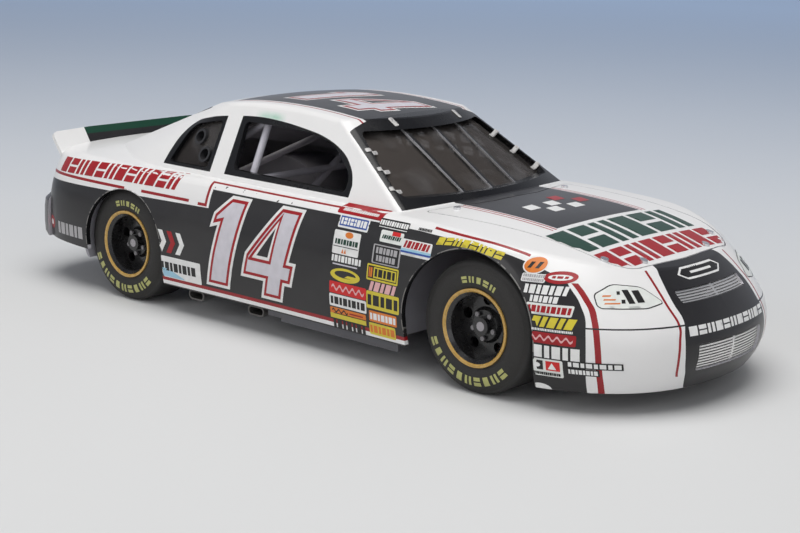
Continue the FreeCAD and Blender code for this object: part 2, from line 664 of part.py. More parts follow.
def steering_wheel():
    """Three-spoked wheel on a straight column that comes out of the dash."""
    rim = Part.makeTorus(7.0, 0.6, V(0, 0, 0), V(1, 0, 0))
    hub = rod((-0.8, 0, 0), (0.8, 0, 0), 1.6)
    spokes = [box(-0.4, 0.4, -7, 7, -0.6, 0.6), box(-0.4, 0.4, -0.6, 0.6, -7, 0)]
    wheel = fuse([rim, hub] + spokes)
    wheel.rotate(V(0, 0, 0), V(0, 1, 0), 14)
    column = rod((0, 0, 0), (DASH_X - 2.6 - 9.6, 0, -2.6), 0.7)
    column = column.cut(box(DASH_X - 2.6 - 10.0, 60, -9, 9, -9, 9))
    whole = fuse([wheel, column])
    whole.translate(V(10.0, SEAT_Y, DASH_BAR_Z + 0.2))
    return whole


ENGINE_X0 = 40.0
ENGINE_X1 = 68.0
BLOCK_TOP_Z = 23.0
INTAKE_TOP_Z = 27.0
GEARBOX_Z = 11.6
GEARBOX_REAR_X = FIREWALL_X - 18
RAIL_IN_Y = FRONT_RAIL_Y - RAIL_W / 2
RAIL_TOP_Z = FRONT_RAIL_Z + RAIL_W / 2
RAIL_LOW_Z = FRONT_RAIL_Z - RAIL_W / 2


def engine():
    """Plain V8: block, sump, two heads, intake, front pulley, gearbox and two mounts."""
    low = RAIL_LOW_Z + 0.3
    block = box(ENGINE_X0, ENGINE_X1, -6.5, 6.5, low, BLOCK_TOP_Z)
    intake = box(ENGINE_X0 + 4, ENGINE_X1 - 4, -4, 4, BLOCK_TOP_Z, INTAKE_TOP_Z)
    head = box(ENGINE_X0 + 1, ENGINE_X1 - 1, -2.6, 2.6, -3.2, 3.6)
    head.rotate(V(0, 0, 0), V(1, 0, 0), -40)
    head.translate(V(0, 7.0, BLOCK_TOP_Z - 1.0))
    gearbox = cone((ENGINE_X0, 0, GEARBOX_Z), (GEARBOX_REAR_X, 0, GEARBOX_Z), 4.2, 3.0)
    pulley = rod((ENGINE_X1, 0, 15.5), (ENGINE_X1 + 2, 0, 15.5), 3.4)
    mounts = both_sides(box(ENGINE_X0 + 10, ENGINE_X0 + 14, 6, RAIL_IN_Y, FRONT_RAIL_Z - 1, FRONT_RAIL_Z + 1))
    return fuse([block, intake, gearbox, pulley] + both_sides(head) + mounts)


def air_cleaner():
    """Round air cleaner with its lid, sitting on the intake."""
    x = ENGINE_X0 + 13
    lid_z = INTAKE_TOP_Z + 2.6
    drum = rod((x, 0, INTAKE_TOP_Z), (x, 0, lid_z), 6.4)
    lid = rod((x, 0, lid_z), (x, 0, lid_z + 0.6), 7.2)
    nut = rod((x, 0, lid_z + 0.6), (x, 0, lid_z + 1.4), 0.8)
    return fuse([drum, lid, nut])


RADIATOR_X = 82.0


def radiator():
    tank = box(RADIATOR_X, RADIATOR_X + 3, -15, 15, RAIL_TOP_Z, RAIL_TOP_Z + 11.5)
    caps = both_sides(box(RADIATOR_X - 0.5, RADIATOR_X + 3.5, 13, 15.4, RAIL_TOP_Z, RAIL_TOP_Z + 12))
    return fuse([tank] + caps)


LOWER_ARM_Z = 10.6
UPPER_ARM_Z = 19.4
ARM_T = 1.6
ARM_BOSS_R = 2.0


def front_crossmember():
    """Crossmember under the rails with lower and upper arms that end in kingpin bosses."""
    x = FRONT_X
    beam = box(x - 3.5, x + 3.5, -RAIL_IN_Y - RAIL_W, RAIL_IN_Y + RAIL_W, RAIL_LOW_Z - 2.6, RAIL_LOW_Z)
    parts = [beam]
    outer = RAIL_IN_Y + RAIL_W
    for s in (-1, 1):
        lower = box(x - 2, x + 2, min(s * 12, s * KINGPIN_Y), max(s * 12, s * KINGPIN_Y), LOWER_ARM_Z - ARM_T / 2,
                    LOWER_ARM_Z + ARM_T / 2)
        upper = box(x - 1.6, x + 1.6, min(s * 12, s * KINGPIN_Y), max(s * 12, s * KINGPIN_Y), UPPER_ARM_Z - ARM_T / 2,
                    UPPER_ARM_Z + ARM_T / 2)
        tower = box(x - 2.5, x + 2.5, min(s * RAIL_IN_Y, s * outer), max(s * RAIL_IN_Y, s * outer), RAIL_TOP_Z,
                    UPPER_ARM_Z + ARM_T / 2)
        low_boss = rod((x, s * KINGPIN_Y, LOWER_ARM_Z - 0.9), (x, s * KINGPIN_Y, LOWER_ARM_Z + 0.9), ARM_BOSS_R)
        top_boss = rod((x, s * KINGPIN_Y, UPPER_ARM_Z - 0.9), (x, s * KINGPIN_Y, UPPER_ARM_Z + 0.9), ARM_BOSS_R)
        parts += [lower, upper, tower, low_boss, top_boss]
    bores = [rod((x, s * KINGPIN_Y, 5), (x, s * KINGPIN_Y, 25), KINGPIN_R + PIN_GAP) for s in (-1, 1)]
    return fuse(parts).cut(bores)


def spindle_left():
    """Steering knuckle: kingpin, upright between the arms and the axle stub."""
    x = FRONT_X
    y = KINGPIN_Y
    pin = rod((x, y, LOWER_ARM_Z - 1.6), (x, y, UPPER_ARM_Z + 1.6), KINGPIN_R)
    upright = rod((x, y, LOWER_ARM_Z + 1.1), (x, y, UPPER_ARM_Z - 1.1), 1.9)
    stub = rod((x, y, AXLE_Z), (x, HUB_FACE_Y - 0.6, AXLE_Z), AXLE_R)
    flange = rod((x, y, AXLE_Z), (x, y + 2.6, AXLE_Z), 2.6)
    return fuse([pin, upright, stub, flange])


HUB_FACE_Y = TYRE_OUT_Y - 2.2
DISC_Y = TYRE_OUT_Y - 4.6
DISC_HOLES = 5
DISC_HOLE_R = 1.25
DISC_HOLE_CIRCLE_R = 5.7
NUT_R = 0.55
NUT_CIRCLE_R = 2.9


def rim_left():
    """Steel wheel: lipped barrel, dished disc with round holes, lug nuts and a capped hub."""
    out = TYRE_OUT_Y
    inn = TYRE_IN_Y
    half = [
        (TYRE_BORE_R - 0.7, inn - 0.2), (RIM_LIP_R, inn - 0.2), (RIM_LIP_R, inn + 0.5), (TYRE_BORE_R, inn + 0.9),
        (TYRE_BORE_R, out - 0.9), (RIM_LIP_R, out - 0.3), (RIM_LIP_R, out + 0.1), (RIM_LIP_R - 0.5, out + 0.1),
        (TYRE_BORE_R - 0.7, out - 0.9),
    ]
    wire = Part.makePolygon([V(0, y, AXLE_Z + r) for r, y in half + half[:1]])
    barrel = Part.Face(wire).revolve(V(0, 0, AXLE_Z), V(0, 1, 0), 360)
    disc = cone((0, DISC_Y - 1.0, AXLE_Z), (0, DISC_Y, AXLE_Z), TYRE_BORE_R - 0.4, TYRE_BORE_R - 0.6)
    raised = cone((0, DISC_Y - 0.1, AXLE_Z), (0, DISC_Y + 0.8, AXLE_Z), 4.2, 3.4)
    hub = rod((0, TYRE_IN_Y + 1.0, AXLE_Z), (0, HUB_FACE_Y, AXLE_Z), HUB_R)
    parts = [barrel, disc, raised, hub]
    holes = []
    for i in range(DISC_HOLES):
        turn = 2 * math.pi * i / DISC_HOLES
        x = DISC_HOLE_CIRCLE_R * math.sin(turn)
        z = AXLE_Z + DISC_HOLE_CIRCLE_R * math.cos(turn)
        holes.append(rod((x, DISC_Y - 3, z), (x, DISC_Y + 3, z), DISC_HOLE_R))
        turn += math.pi / DISC_HOLES
        x = NUT_CIRCLE_R * math.sin(turn)
        z = AXLE_Z + NUT_CIRCLE_R * math.cos(turn)
        parts.append(rod((x, DISC_Y, z), (x, DISC_Y + 1.6, z), NUT_R))
    bore = rod((0, TYRE_IN_Y, AXLE_Z), (0, HUB_FACE_Y - 0.5, AXLE_Z), AXLE_R + PIN_GAP)
    return fuse(parts).cut(holes + [bore])


def tyre_left():
    """Slick racing tyre: flat tread, rounded shoulders, bulged walls down to the bead."""
    y0 = TYRE_IN_Y
    y1 = TYRE_OUT_Y
    c = (y0 + y1) / 2
    z = AXLE_Z
    bore = TYRE_BORE_R
    edges = [
        line((0, y0 + 0.9, z + bore), (0, y1 - 0.9, z + bore)),
        line((0, y1 - 0.9, z + bore), (0, y1 - 0.3, z + RIM_LIP_R)),
        arc((0, y1 - 0.3, z + RIM_LIP_R), (0, y1 + 0.25, z + 11.3), (0, y1 - 0.7, z + TYRE_R - 1.1)),
        arc((0, y1 - 0.7, z + TYRE_R - 1.1), (0, y1 - 1.2, z + TYRE_R - 0.35), (0, y1 - 2.2, z + TYRE_R)),
        line((0, y1 - 2.2, z + TYRE_R), (0, y0 + 2.2, z + TYRE_R)),
        arc((0, y0 + 2.2, z + TYRE_R), (0, y0 + 1.2, z + TYRE_R - 0.35), (0, y0 + 0.7, z + TYRE_R - 1.1)),
        arc((0, y0 + 0.7, z + TYRE_R - 1.1), (0, y0 - 0.25, z + 11.3), (0, y0 + 0.5, z + RIM_LIP_R)),
        line((0, y0 + 0.5, z + RIM_LIP_R), (0, y0 + 0.9, z + bore)),
    ]
    return Part.Face(Part.Wire(edges)).revolve(V(0, c, z), V(0, 1, 0), 360)


AXLE_TUBE_R = 1.7
FLANGE_R = 2.6
DIFF_R = 4.4
DIFF_FRONT_X = REAR_X + 5.0
YOKE_R = 1.5
YOKE_L = 2.5


def rear_axle():
    """Rear axle: tube, round differential with a nose, brake flanges and the stub ends."""
    x = REAR_X
    tube_part = rod((x, -TYRE_IN_Y + 2.2, AXLE_Z), (x, TYRE_IN_Y - 2.2, AXLE_Z), AXLE_TUBE_R)
    flanges = both_sides(rod((x, TYRE_IN_Y - 2.8, AXLE_Z), (x, TYRE_IN_Y - 1.2, AXLE_Z), FLANGE_R))
    stubs = both_sides(rod((x, 20, AXLE_Z), (x, HUB_FACE_Y - 0.6, AXLE_Z), AXLE_R))
    middle = rod((x - 2.6, 0, AXLE_Z), (x + 2.6, 0, AXLE_Z), DIFF_R)
    nose = rod((x, 0, AXLE_Z), (DIFF_FRONT_X, 0, AXLE_Z), 2.2)
    return fuse([tube_part, middle, nose] + flanges + stubs)


def driveshaft():
    """Sloping shaft between the gearbox and the differential, with a plain yoke at each end."""
    front = GEARBOX_REAR_X
    fore_yoke = rod((front, 0, GEARBOX_Z), (front - YOKE_L, 0, GEARBOX_Z), YOKE_R)
    aft_yoke = rod((DIFF_FRONT_X, 0, AXLE_Z), (DIFF_FRONT_X + YOKE_L, 0, AXLE_Z), YOKE_R)
    shaft = rod((front - 2, 0, GEARBOX_Z), (DIFF_FRONT_X + 2, 0, AXLE_Z), YOKE_R - 0.4)
    return fuse([fore_yoke, aft_yoke, shaft])


def trailing_arm():
    """Truck arm from a bracket under the floor back to the axle tube."""
    arm_y = 12.0
    x0 = FLOOR_REAR_X + 10
    top = AXLE_Z - AXLE_TUBE_R - SEAT_GAP
    low = [(x0 + 2, DOOR_BOTTOM_Z - 2.2, 0.3), (x0 + 2, DOOR_BOTTOM_Z, 0.3), (FLOOR_REAR_X - 1.4, DOOR_BOTTOM_Z, 0.3),
           (REAR_X + 1.5, top, 0.3), (REAR_X - 2, top, 0.3), (REAR_X - 2, top - 1.8, 0.3),
           (REAR_X + 3, top - 1.8, 0.3), (FLOOR_REAR_X + 1, DOOR_BOTTOM_Z - 2.2, 0.3)]
    return side_prism(low, 0, arm_y - 0.9, arm_y + 0.9)


PIPE_R = 1.25
PIPE_WALL = 0.4
PIPE_Z = DOOR_BOTTOM_Z - PIPE_R - 0.2
MOUTH_HALF = 2.8
MOUTH_L = 6.0


def exhaust_pipes():
    """Two pipes under the floor that turn out below the right sill and end in flattened mouths."""
    y1 = -BODY_HALF + 3.2
    pipes = []
    for x0, y0, turn_x, x1 in ((26.0, -11.0, -1.6, -9.6), (26.0, 11.0, -17.4, -31.2)):
        route = [(x0, y0, PIPE_Z), (turn_x, y0, PIPE_Z), (x1 + 7, -20.0, PIPE_Z), (x1, y1 + MOUTH_L - 1.0, PIPE_Z)]
        parts = [rod(a, b, PIPE_R) for a, b in zip(route, route[1:])]
        parts += [Part.makeSphere(PIPE_R, V(*bend)) for bend in route[1:-1]]
        slot = [(x1 + a * MOUTH_HALF, PIPE_Z + b * PIPE_R, PIPE_R * 0.98) for a, b in ((-1, -1), (-1, 1), (1, 1), (1, -1))]
        parts.append(side_prism(slot, 0, y1, y1 + MOUTH_L))
        pipes.append(fuse(parts).cut(side_prism(slot, -PIPE_WALL, y1, y1 + MOUTH_L - 1.5)))
    return pipes


def fuel_cell():
    """Fuel cell hung under the trunk floor between the rear rails."""
    x1 = REAR_X - TYRE_R - 4
    tank = box(x1 - 17, x1, -11, 11, 10.0, TRUNK_Z - 1)
    strap = [box(x1 - 17.3, x1 + 0.3, y - 1, y + 1, 9.7, TRUNK_Z - 1) for y in (-6, 6)]
    return fuse([tank] + strap)


def side_skirt():
    """Strip below the sill, ahead of the exhaust outlets."""
    y1 = BODY_HALF - WAIST - 2.2
    skirt = box(-0.5, FRONT_ARCH_X - FRONT_ARCH_R - 3.0, y1 - 1.0, y1, 4.9, DOOR_BOTTOM_Z)
    foot = box(-5.0, -0.5, y1 - 1.0, y1, 5.7, DOOR_BOTTOM_Z)
    return fuse([skirt, foot])


def export(name, shapes):
    """Write one node; several solids stay separate in it."""
    shapes = shapes if isinstance(shapes, list) else [shapes]
    solids = [s for shape in shapes for s in shape.Solids]
    whole = solids[0] if len(solids) == 1 else Part.makeCompound(solids)
    whole.exportStep("parts/" + name + ".step")
    print(name, len(solids), "valid" if all(s.isValid() for s in solids) else "BAD",
          "volume", round(sum(s.Volume for s in solids), 1))


def build():
    os.makedirs("parts", exist_ok=True)
    body = Body()
    shell, cover = split_shell(body)
    rails = frame_rails()
    windows = window_cutters(GLASS_LAP)
    export("body_shell", shell)
    export("front_bumper_cover", cover)
    export("rear_bumper_cover", bumper_rear(body))
    export("rear_spoiler", spoiler(body))
    export("windshield", windshield(body))
    export("rear_window", body.glass(windows["backlight"]))
    quarter = quarter_pane(body)
    export("quarter_windows", both_sides(quarter))
    rings = duct_rings(body)
    export("quarter_duct_rings", rings + [mirrored(r) for r in rings])
    export("windshield_braces", screen_braces(body))
    export("window_clips", window_clips(body))
    export("window_net", window_net(body))
    export("grille_upper", grille(UPPER_GRILLE, NOSE_X - 18, NOSE_X + 5, body, 5))
    export("grille_lower", grille(LOWER_GRILLE, NOSE_X - 12, NOSE_X + 5, body, 9))
    export("hood_panel", hood_panel(body))
    export("hood_pins", hood_pins(body))
    export("frame_rails", rails)
    export("chassis_pan", chassis_pan(body, rails))
    hoop = cage_hoop()
    sides = cut_from(both_sides(cage_side()), [hoop])
    door_bars = [bar_ for left in cage_door_bars() for bar_ in both_sides(left)]
    export("cage_hoop", hoop)
    export("cage_sides", sides)
    export("cage_door_bars", cut_from(door_bars, [hoop] + sides))
    export("cage_cross_bars", cut_from(cage_cross_bars(), sides))
    export("cage_braces", cut_from(both_sides(cage_brace()), [hoop] + sides))
    export("driver_seat", driver_seat())
    export("dashboard", dashboard())
    export("steering_wheel", steering_wheel())
    export("engine", engine())
    export("air_cleaner", air_cleaner())
    export("radiator", radiator())
    export("front_crossmember", front_crossmember())
    export("rear_axle_housing", rear_axle())
    export("driveshaft", driveshaft())
    export("trailing_arms", both_sides(trailing_arm()))
    export("exhaust_pipes", exhaust_pipes())
    export("fuel_cell", fuel_cell())
    export("side_skirts", both_sides(side_skirt()))
    spindle = spindle_left()
    export("spindle_left", spindle)
    export("spindle_right", mirrored(spindle))
    for place, x in (("front", FRONT_X), ("rear", REAR_X)):
        for name, make in (("rim", rim_left), ("tyre", tyre_left)):
            piece = make()
            piece.translate(V(x, 0, 0))
            export(name + "_" + place + "_left", piece)
            export(name + "_" + place + "_right", mirrored(piece))


build()
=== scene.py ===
# %% [markdown]
# # A plastic model of a stock car
# The imported model gives every moulded piece its true shape and place. This lesson dresses those
# pieces: painted stripes, printed decals, clear windows, rubber tyres, and a small studio around them.
# We load the fixed frame first. Nothing we add may make the car larger.

# %% Load the frame
import math

import bpy
from mathutils import Matrix, Vector
from mathutils.bvhtree import BVHTree
from mathutils.geometry import delaunay_2d_cdt


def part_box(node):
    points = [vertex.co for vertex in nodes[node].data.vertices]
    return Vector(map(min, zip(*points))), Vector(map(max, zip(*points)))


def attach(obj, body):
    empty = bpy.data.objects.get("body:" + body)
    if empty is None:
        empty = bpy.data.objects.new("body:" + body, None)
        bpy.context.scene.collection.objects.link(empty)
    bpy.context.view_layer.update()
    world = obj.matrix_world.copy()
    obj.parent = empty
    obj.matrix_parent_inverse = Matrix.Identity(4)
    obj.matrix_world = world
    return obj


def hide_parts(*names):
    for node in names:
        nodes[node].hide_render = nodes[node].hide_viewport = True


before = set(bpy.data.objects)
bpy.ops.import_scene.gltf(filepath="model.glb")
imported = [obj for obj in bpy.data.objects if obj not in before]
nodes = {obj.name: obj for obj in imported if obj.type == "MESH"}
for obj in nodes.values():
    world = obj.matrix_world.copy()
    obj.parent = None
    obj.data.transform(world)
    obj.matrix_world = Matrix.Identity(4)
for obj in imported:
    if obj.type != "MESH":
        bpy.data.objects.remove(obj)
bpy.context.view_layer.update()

MM = 0.001
print("pieces in the frame:", len(nodes))

# %% [markdown]
# ## Camera
# The photograph looks at the right front corner from a little above. A camera is a place, a way to
# look and a lens. The three angles below turn the camera's own axes, and the matrix is made from them:
# that is more exact than a Track To constraint, because the picture is also tilted by a degree or two.

# %% Camera at the photograph's angle
CAMERA_AZIMUTH = 0.7112
CAMERA_ELEVATION = 0.2249
CAMERA_ROLL = 0.02715
CAMERA_PLACE = Vector((275.01, -312.64, 108.35)) * MM
FOCAL_PIXELS = 1664.4
PICTURE_WIDTH = 800
SENSOR = 36.0

back = Vector((math.sin(CAMERA_AZIMUTH) * math.cos(CAMERA_ELEVATION),
               -math.cos(CAMERA_AZIMUTH) * math.cos(CAMERA_ELEVATION), math.sin(CAMERA_ELEVATION)))
right = Vector((math.cos(CAMERA_AZIMUTH), math.sin(CAMERA_AZIMUTH), 0))
up = back.cross(right)
turned_right = right * math.cos(CAMERA_ROLL) + up * math.sin(CAMERA_ROLL)
turned_up = up * math.cos(CAMERA_ROLL) - right * math.sin(CAMERA_ROLL)

camera_data = bpy.data.cameras.new("camera")
camera_data.sensor_width = SENSOR
camera_data.lens = SENSOR * FOCAL_PIXELS / PICTURE_WIDTH
camera_data.clip_start = 0.01
camera = bpy.data.objects.new("camera", camera_data)
bpy.context.scene.collection.objects.link(camera)
axes = Matrix((turned_right, turned_up, back)).transposed()
camera.matrix_world = Matrix.Translation(CAMERA_PLACE) @ axes.to_4x4()
bpy.context.scene.camera = camera
print("lens", round(camera_data.lens, 1), "mm")

# %% [markdown]
# ## Shader arithmetic
# A material is a graph of nodes. Writing it as Python expressions keeps it readable: a Wire stands for
# one output socket, and `x * 2 + 1` or `z < 30` adds the Math nodes. A comparison gives 1 or 0, so `&`,
# the product, and `|`, the larger of two, combine masks. Every other node comes from one method: its
# type, its settings, its inputs.

# %% A wire that does arithmetic
def adds(operation, swapped=False):
    """A method that answers one Python operator with one Math node."""
    def method(self, other=0.0):
        pair = (other, self) if swapped else (self, other)
        return self.math(operation, *pair)
    return method


class Wire:
    """One output socket of a material's nodes. Arithmetic on it adds Math nodes."""

    def __init__(self, tree, socket=None):
        self.tree = tree
        self.socket = socket

    def node(self, kind, settings=None, inputs=None, output=0):
        made = self.tree.nodes.new("ShaderNode" + kind)
        for name, value in (settings or {}).items():
            if name == "points":
                set_points(made.mapping, value)
            else:
                setattr(made, name, value)
        for key, value in (inputs or {}).items():
            socket = made.inputs[key]
            if isinstance(value, Wire):
                self.tree.links.new(value.socket, socket)
            elif socket.type == "RGBA" and len(value) == 3:
                socket.default_value = (*value, 1)
            else:
                socket.default_value = value
        return Wire(self.tree, made.outputs[output] if made.outputs else None)

    def also(self, output):
        return Wire(self.tree, self.socket.node.outputs[output])

    def math(self, operation, *values):
        return self.node("Math", {"operation": operation}, dict(enumerate(values)))

    __add__ = __radd__ = adds("ADD")
    __sub__ = adds("SUBTRACT")
    __rsub__ = adds("SUBTRACT", swapped=True)
    __mul__ = __rmul__ = adds("MULTIPLY")
    __truediv__ = adds("DIVIDE")
    __pow__ = adds("POWER")
    __abs__ = adds("ABSOLUTE")
    __lt__ = adds("LESS_THAN")
    __gt__ = adds("GREATER_THAN")
    __and__ = adds("MULTIPLY")
    __or__ = adds("MAXIMUM")

    def between(self, low, high):
        """1 where the value lies between two limits, else 0."""
        return (self > low) & (self < high)


print("arithmetic ready")

# %% [markdown]
# A few helpers go with it. An edge that isn't straight is a curve node: its points are given in
# millimetres and squeezed into the square from 0 to 1 in which the node draws. A mix lays one colour over
# another by a mask, and a wave gives ribs, fins and weaves.

# %% Curves, mixes and waves
def set_points(mapping, points):
    """Give a curve node its points; it starts with two of its own."""
    curve = mapping.curves[0]
    for i, (a, b) in enumerate(points):
        point = curve.points[i] if i < 2 else curve.points.new(a, b)
        point.location = (a, b)
    mapping.update()


def follow(value, points):
    """Smooth line through given points (a, b): gives b for a value of a."""
    a0, a1 = points[0][0], points[-1][0]
    lows = [b for _, b in points]
    b0, b1 = min(lows) - 1, max(lows) + 1
    scaled = [((a - a0) / (a1 - a0), (b - b0) / (b1 - b0)) for a, b in points]
    share = value.node("FloatCurve", {"points": scaled[:1] + scaled[-1:] + scaled[1:-1]},
                       {"Factor": 1.0, "Value": (value - a0) / (a1 - a0)})
    return share * (b1 - b0) + b0


def mix(mask, below, above):
    """Colour that goes from one to the other as the mask goes from 0 to 1."""
    return mask.node("Mix", {"data_type": "RGBA"}, {0: mask, 6: below, 7: above}, 2)


def wave(value):
    """Sine of a value."""
    return value.math("SINE", value)


print("curves, mixes and waves ready")

# %% [markdown]
# ## Starting and sealing a material
# Each finish begins with an empty graph and ends in one Principled shader. What varies over the
# surface is linked to its socket; a number that is the same all over is set on the socket itself.
# Places are read from the object's own coordinates, so the paint stays put when a wheel or the
# hood moves.

# %% Start, place, grain and seal
def start(name):
    material = bpy.data.materials.new(name)
    material.use_nodes = True
    material.node_tree.nodes.clear()
    return Wire(material.node_tree), material


def place(wire):
    """The point on the model, in millimetres, as x, y and z."""
    where = wire.node("TexCoord", output="Object")
    scaled = wire.node("VectorMath", {"operation": "SCALE"}, {0: where, "Scale": 1000.0})
    apart = wire.node("SeparateXYZ", inputs={0: scaled})
    return apart, apart.also(1), apart.also(2)


def grain(wire, scale, detail=3.0, rough=0.5):
    """Cloudy noise from 0 to 1; scale is how many clouds fit in a metre."""
    inputs = {"Vector": wire.node("TexCoord", output="Object"), "Scale": scale, "Detail": detail}
    return wire.node("TexNoise", inputs={**inputs, "Roughness": rough})


def bumped(height, depth_mm, strength=1.0):
    """Small relief, its depth in millimetres."""
    return height.node("Bump", inputs={"Strength": strength, "Distance": depth_mm * MM, "Height": height})


def seal(wire, material, **inputs):
    """Close the graph with a Principled shader; underscores in names stand for spaces."""
    named = {name.replace("_", " "): value for name, value in inputs.items()}
    shader = wire.node("BsdfPrincipled", inputs=named)
    wire.node("OutputMaterial", inputs={"Surface": shader})
    return material


def dress(node, material):
    """Give a piece of the frame its finish."""
    slots = nodes[node].data.materials
    slots.clear()
    slots.append(material)


print("materials can be made")

# %% [markdown]
# ## Paint colours
# Gloss white over most of the car, charcoal black on the lower sides, and thin red lines between.
# The colours are linear values of the paint itself, not of the picture: the light does the rest.

# %% Paint colours
WHITE = (0.81, 0.805, 0.80)
BLACK = (0.021, 0.020, 0.021)
RED = (0.30, 0.011, 0.015)
GREEN = (0.010, 0.055, 0.032)
INSIDE = (0.52, 0.51, 0.55)
SEAM = (0.02, 0.02, 0.02)
TRIM = (0.008, 0.008, 0.009)
# grey used for real dust on the paint and also as a painted highlight round the wheel arches
DUST_AND_RIM_HIGHLIGHT = (0.30, 0.29, 0.27)
PIN_RED = (0.36, 0.012, 0.018)
SMEAR_GREEN = (0.22, 0.55, 0.38)
print("paints mixed")

# %% [markdown]
# ## The painted body
# On a kit the pattern is masked and sprayed, with thin decal lines on its edges. Here each colour area
# is a mask worked out from the place on the body. Near the shoulder, height alone runs out, because the
# surface turns inwards, so `lean` measures up and inwards together. A few listed points give each
# edge that isn't straight.

# %% Edges of the colour areas
DOOR_EDGE_X = -25.3
LOW_EDGE_Z = 28.5
FORE_EDGE = [(-26, 33.6), (40, 33.4), (47, 33.0), (60, 32.3), (72, 32.2), (82, 31.2)]
FENDER_LINE = [(46, 35.4), (59, 34.5), (71, 34.6)]
NOSE_EDGE = [(5, 85.6), (20, 85.7), (23.6, 83.9), (27.6, 80.2), (34, 74.0)]
NOSE_LINE = [(5, 88.0), (9, 88.5), (16.7, 88.2), (22, 86.5), (25, 84.2), (28, 81.0)]
PANEL_EDGE = [(5, 13.0), (9, 15.4), (13, 16.6), (17, 16.5), (21, 15.3), (23, 15.4), (26, 14.7), (30.5, 11.8)]
PANEL_LINE = [(8, 16.6), (12, 18.2), (16, 18.0), (20, 17.0), (23, 17.2), (25.4, 16.9), (30, 15.8)]
SHOULDER_Y = 35.5
LINE_HALF = 0.36
HOOD_PANEL_Y = 16.5
HOOD_PANEL_X = 65.4
ROOF_PANEL_Y = 18.4
ROOF_PANEL_REAR_X = -35.0
SEAM_Z = 19.5
DOOR_TRIM = [(-27, 51.0), (-21, 51.4), (-15, 51.3), (-5, 50.4), (2.6, 49.2), (9.2, 46.9), (13.2, 44.1),
             (15.4, 41.0), (16.2, 36.4)]
QUARTER_TRIM = [(-49.4, 36.4), (-48.3, 40.8), (-46.5, 44.9), (-43.4, 47.8), (-38.5, 49.4), (-31.2, 50.6)]
print("edges set")

# %% [markdown]
# Each colour area is one function that gives 1 inside it and 0 outside. `side` is the distance from the
# middle of the car, so the left and the right come out alike.

# %% Colour areas
def side_black(x, z, lean):
    """Charcoal lower sides: behind the door a level edge, ahead of it along the shoulder."""
    low_edge = (x + 70) * 0.018 + LOW_EDGE_Z
    aft = (x < DOOR_EDGE_X) & (z < low_edge)
    fore = (x > DOOR_EDGE_X) & (lean < follow(x, FORE_EDGE)) & (x < follow(z, NOSE_EDGE))
    return aft | fore


def side_red(x, z, lean):
    """Thin red lines that border the black, broken over the rear wheel as on the model."""
    aft = (abs(z - 30.05) < LINE_HALF) & (x < -57)
    middle = (abs(z - 30.15) < LINE_HALF) & x.between(-50.4, -32.6)
    foot = (abs(z - 29.9) < LINE_HALF) & x.between(-29.3, -26.1)
    post = (abs(x + 26.5) < 0.4) & (z > 29.6) & (lean < 37.0)
    door = (abs(lean - 36.6) < 0.45) & x.between(-26.9, 20)
    fender = (abs(lean - follow(x, FENDER_LINE)) < 0.5) & x.between(46, 71)
    rocker = z.between(8.5, 9.4) & x.between(-46, 42)
    nose = (abs(x - follow(z, NOSE_LINE)) < 0.55) & (z < 28)
    return aft | middle | foot | post | door | fender | rocker | nose


def front_panel(x, z, side):
    """Black centre of the nose, around the grilles."""
    return (side < follow(z, PANEL_EDGE)) & (x > 86) & (z < 31)


def roof_panels(x, z, side):
    """Black centre of the roof and of the cowl."""
    roof = (side < ROOF_PANEL_Y) & x.between(ROOF_PANEL_REAR_X, 12) & (z > 50)
    cowl = (side < HOOD_PANEL_Y) & x.between(34, HOOD_PANEL_X) & (z > 33)
    return roof | cowl


# middle along the car, middle height and radius of each wheel arch
ARCHES = ((57.7, 14.4, 17.7), (-56.4, 14.8, 14.8))


def arch_discs(x, z, wider):
    """Round areas of both wheel arches, a little wider than the opening."""
    front, rear = [((x - centre) ** 2 + (z - height) ** 2) < (radius + wider) ** 2
                   for centre, height, radius in ARCHES]
    return front | rear


def window_frames(x, y, z, side):
    """Black surrounds of all the windows, on the skin and on the edges of the openings."""
    body_top = 37.4 - (y * y) * 0.00124
    screen = (side < (36.7 - z) * 0.449 + 30.5) & (x > 9.5) & (z > body_top)
    backlight = (side < (x + 44) * 0.113 + 20.6) & x.between(-76.6, -42.2) & (z > 38.4)
    door = x.between(-26.5, 15.9) & (z > 37.0) & (z < follow(x, DOOR_TRIM)) & (side > 18)
    quarter = x.between(-49.2, -31.6) & (z > 36.9) & (z < follow(x, QUARTER_TRIM)) & (side > 18)
    return screen | backlight | door | quarter


print("colour areas set")

# %% [markdown]
# Real paint isn't one colour. It has a faint orange-peel ripple, a little cloudy dust, small chips where
# a line was masked, and a green smear over the door window. A patchy grey ring round each wheel arch is
# a painted highlight on the arch lip. The shell's inside is left in grey primer: the surface looks
# inwards there, which the object-space normal tells.

# %% Body paint
def outward(wire, x, y, z):
    """1 where the surface faces away from the middle of the car."""
    faces = wire.node("TexCoord", output="Normal")
    facing = wire.node("SeparateXYZ", inputs={0: faces})
    return (facing * x * 0.35 + facing.also(1) * y + facing.also(2) * (z - 20)) > -4.0


def ripple(wire):
    fine = grain(wire, 900, 2.0)
    broad = grain(wire, 60, 2.0)
    return bumped(fine * 0.4 + broad, 0.05, 0.35)


def near(value, spot, reach):
    """1 at a spot, fading to 0 at some distance from it, and never less."""
    return (1 - abs(value - spot) / reach) | 0.0


def gloss_paint(wire, material, colour, dull=0.0):
    """Seal a paint with its ripple, dust and a clear coat; dull is a mask without the coat."""
    dust = grain(wire, 45, 5.0, 0.6)
    dirty = mix((dust - 0.45) * 0.10, colour, DUST_AND_RIM_HIGHLIGHT)
    rough = dust * 0.16 - dull * 0.06 + 0.24
    return seal(wire, material, Base_Color=dirty, Roughness=rough, Normal=ripple(wire),
                Specular_IOR_Level=0.3, Coat_Weight=(1 - dull) * 0.25, Coat_Roughness=0.08, Coat_IOR=1.45)


